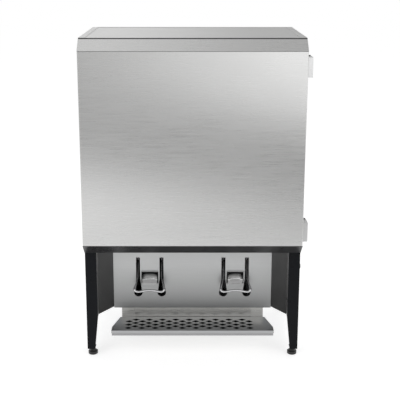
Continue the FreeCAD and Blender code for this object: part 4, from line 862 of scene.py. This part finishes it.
def soft_box(name, place, size, watts):
    """A soft rectangular lamp, turned to the middle of the object and not mirrored in it."""
    middle = Vector((0.0, 0.0, 0.5))
    data = bpy.data.lights.new(name, "AREA")
    data.shape = "RECTANGLE"
    data.size, data.size_y = size
    data.energy = watts
    lamp = bpy.data.objects.new(name, data)
    lamp.location = place
    lamp.visible_glossy = False
    lamp.rotation_euler = (middle - lamp.location).to_track_quat("-Z", "Y").to_euler()
    SCENE.collection.objects.link(lamp)


def make_lights():
    soft_box("key", place=(-2.2, -2.6, 2.8), size=(2.4, 1.8), watts=30.0)
    soft_box("fill", place=(2.6, -2.2, 2.0), size=(2.0, 1.6), watts=16.0)
    soft_box("top", place=(0.0, 0.4, 3.4), size=(2.6, 2.0), watts=14.0)
    soft_box("back", place=(0.6, 2.8, 2.2), size=(2.2, 1.6), watts=8.0)


def make_card(name, corners, grade):
    """A glowing card, which is seen in polished surfaces alone. Its level is what grade(graph) gives."""
    material, graph = stage_material(name)
    glow = graph.add("Emission", Strength=grade(graph))
    graph.add("OutputMaterial", Surface=glow.outputs[0])
    card = sheet_object(name, corners, material)
    card.visible_camera = False
    card.visible_diffuse = False
    card.visible_shadow = False
    card.visible_transmission = False


def studio_grade(graph):
    """Light below, dark across the middle, and lighter above towards the right. Across and up are
    shares of the part of the card that the door mirrors."""
    mirrored_half = 0.469
    mirrored_foot = 0.065
    mirrored_tall = 0.826
    slant = 0.06
    limit = 1.1
    across = graph.math("DIVIDE", graph.coordinate("X"), mirrored_half)
    up = graph.math("DIVIDE", graph.math("SUBTRACT", graph.coordinate("Z"), mirrored_foot), mirrored_tall)
    slanted = graph.math("ADD", up, graph.math("MULTIPLY", across, slant))
    across = graph.math("MAXIMUM", graph.math("MINIMUM", across, limit), -limit)

    def zone(level, change):
        """A level that changes across the card."""
        return graph.math("ADD", graph.math("MULTIPLY", across, change), level)

    shaded_foot = zone(0.3, -0.15)
    light_low = zone(1.13, -0.16)
    dark_middle = zone(0.33, -0.09)
    light_high = zone(0.99, 0.34)
    level = graph.blend(graph.span(up, -0.02, 0.12), shaded_foot, light_low)
    level = graph.blend(graph.span(slanted, 0.14, 0.42), level, dark_middle)
    return graph.blend(graph.span(slanted, 0.56, 0.84), level, light_high)


def side_grade(left, right):
    """A level that goes from left to right across the object's middle."""
    half = 0.5
    return lambda graph: graph.blend(graph.span(graph.coordinate("X"), -half, half), left, right)


def make_cards():
    """Cards in front of the object, above it and behind it."""
    low = 0.01
    half, front, top = 1.5, -1.25, 1.7
    corners = [(-half, front, low), (half, front, low), (half, front, top), (-half, front, top)]
    make_card("studio_card", corners, studio_grade)
    half, front, back, height = 2.0, -1.2, 1.6, 2.4
    corners = [(-half, front, height), (half, front, height), (half, back, height), (-half, back, height)]
    make_card("ceiling_card", corners, side_grade(left=0.86, right=0.56))
    half, back, top = 2.4, 2.2, 2.4
    corners = [(-half, back, low), (half, back, low), (half, back, top), (-half, back, top)]
    make_card("back_card", corners, side_grade(left=0.95, right=0.6))


SCENE.view_settings.view_transform = "Standard"
make_camera()
dress_steel()
dress_black()
dress_hinges()
dress_valves()
dress_inside()
make_details()
make_world()
make_floor()
make_lights()
make_cards()
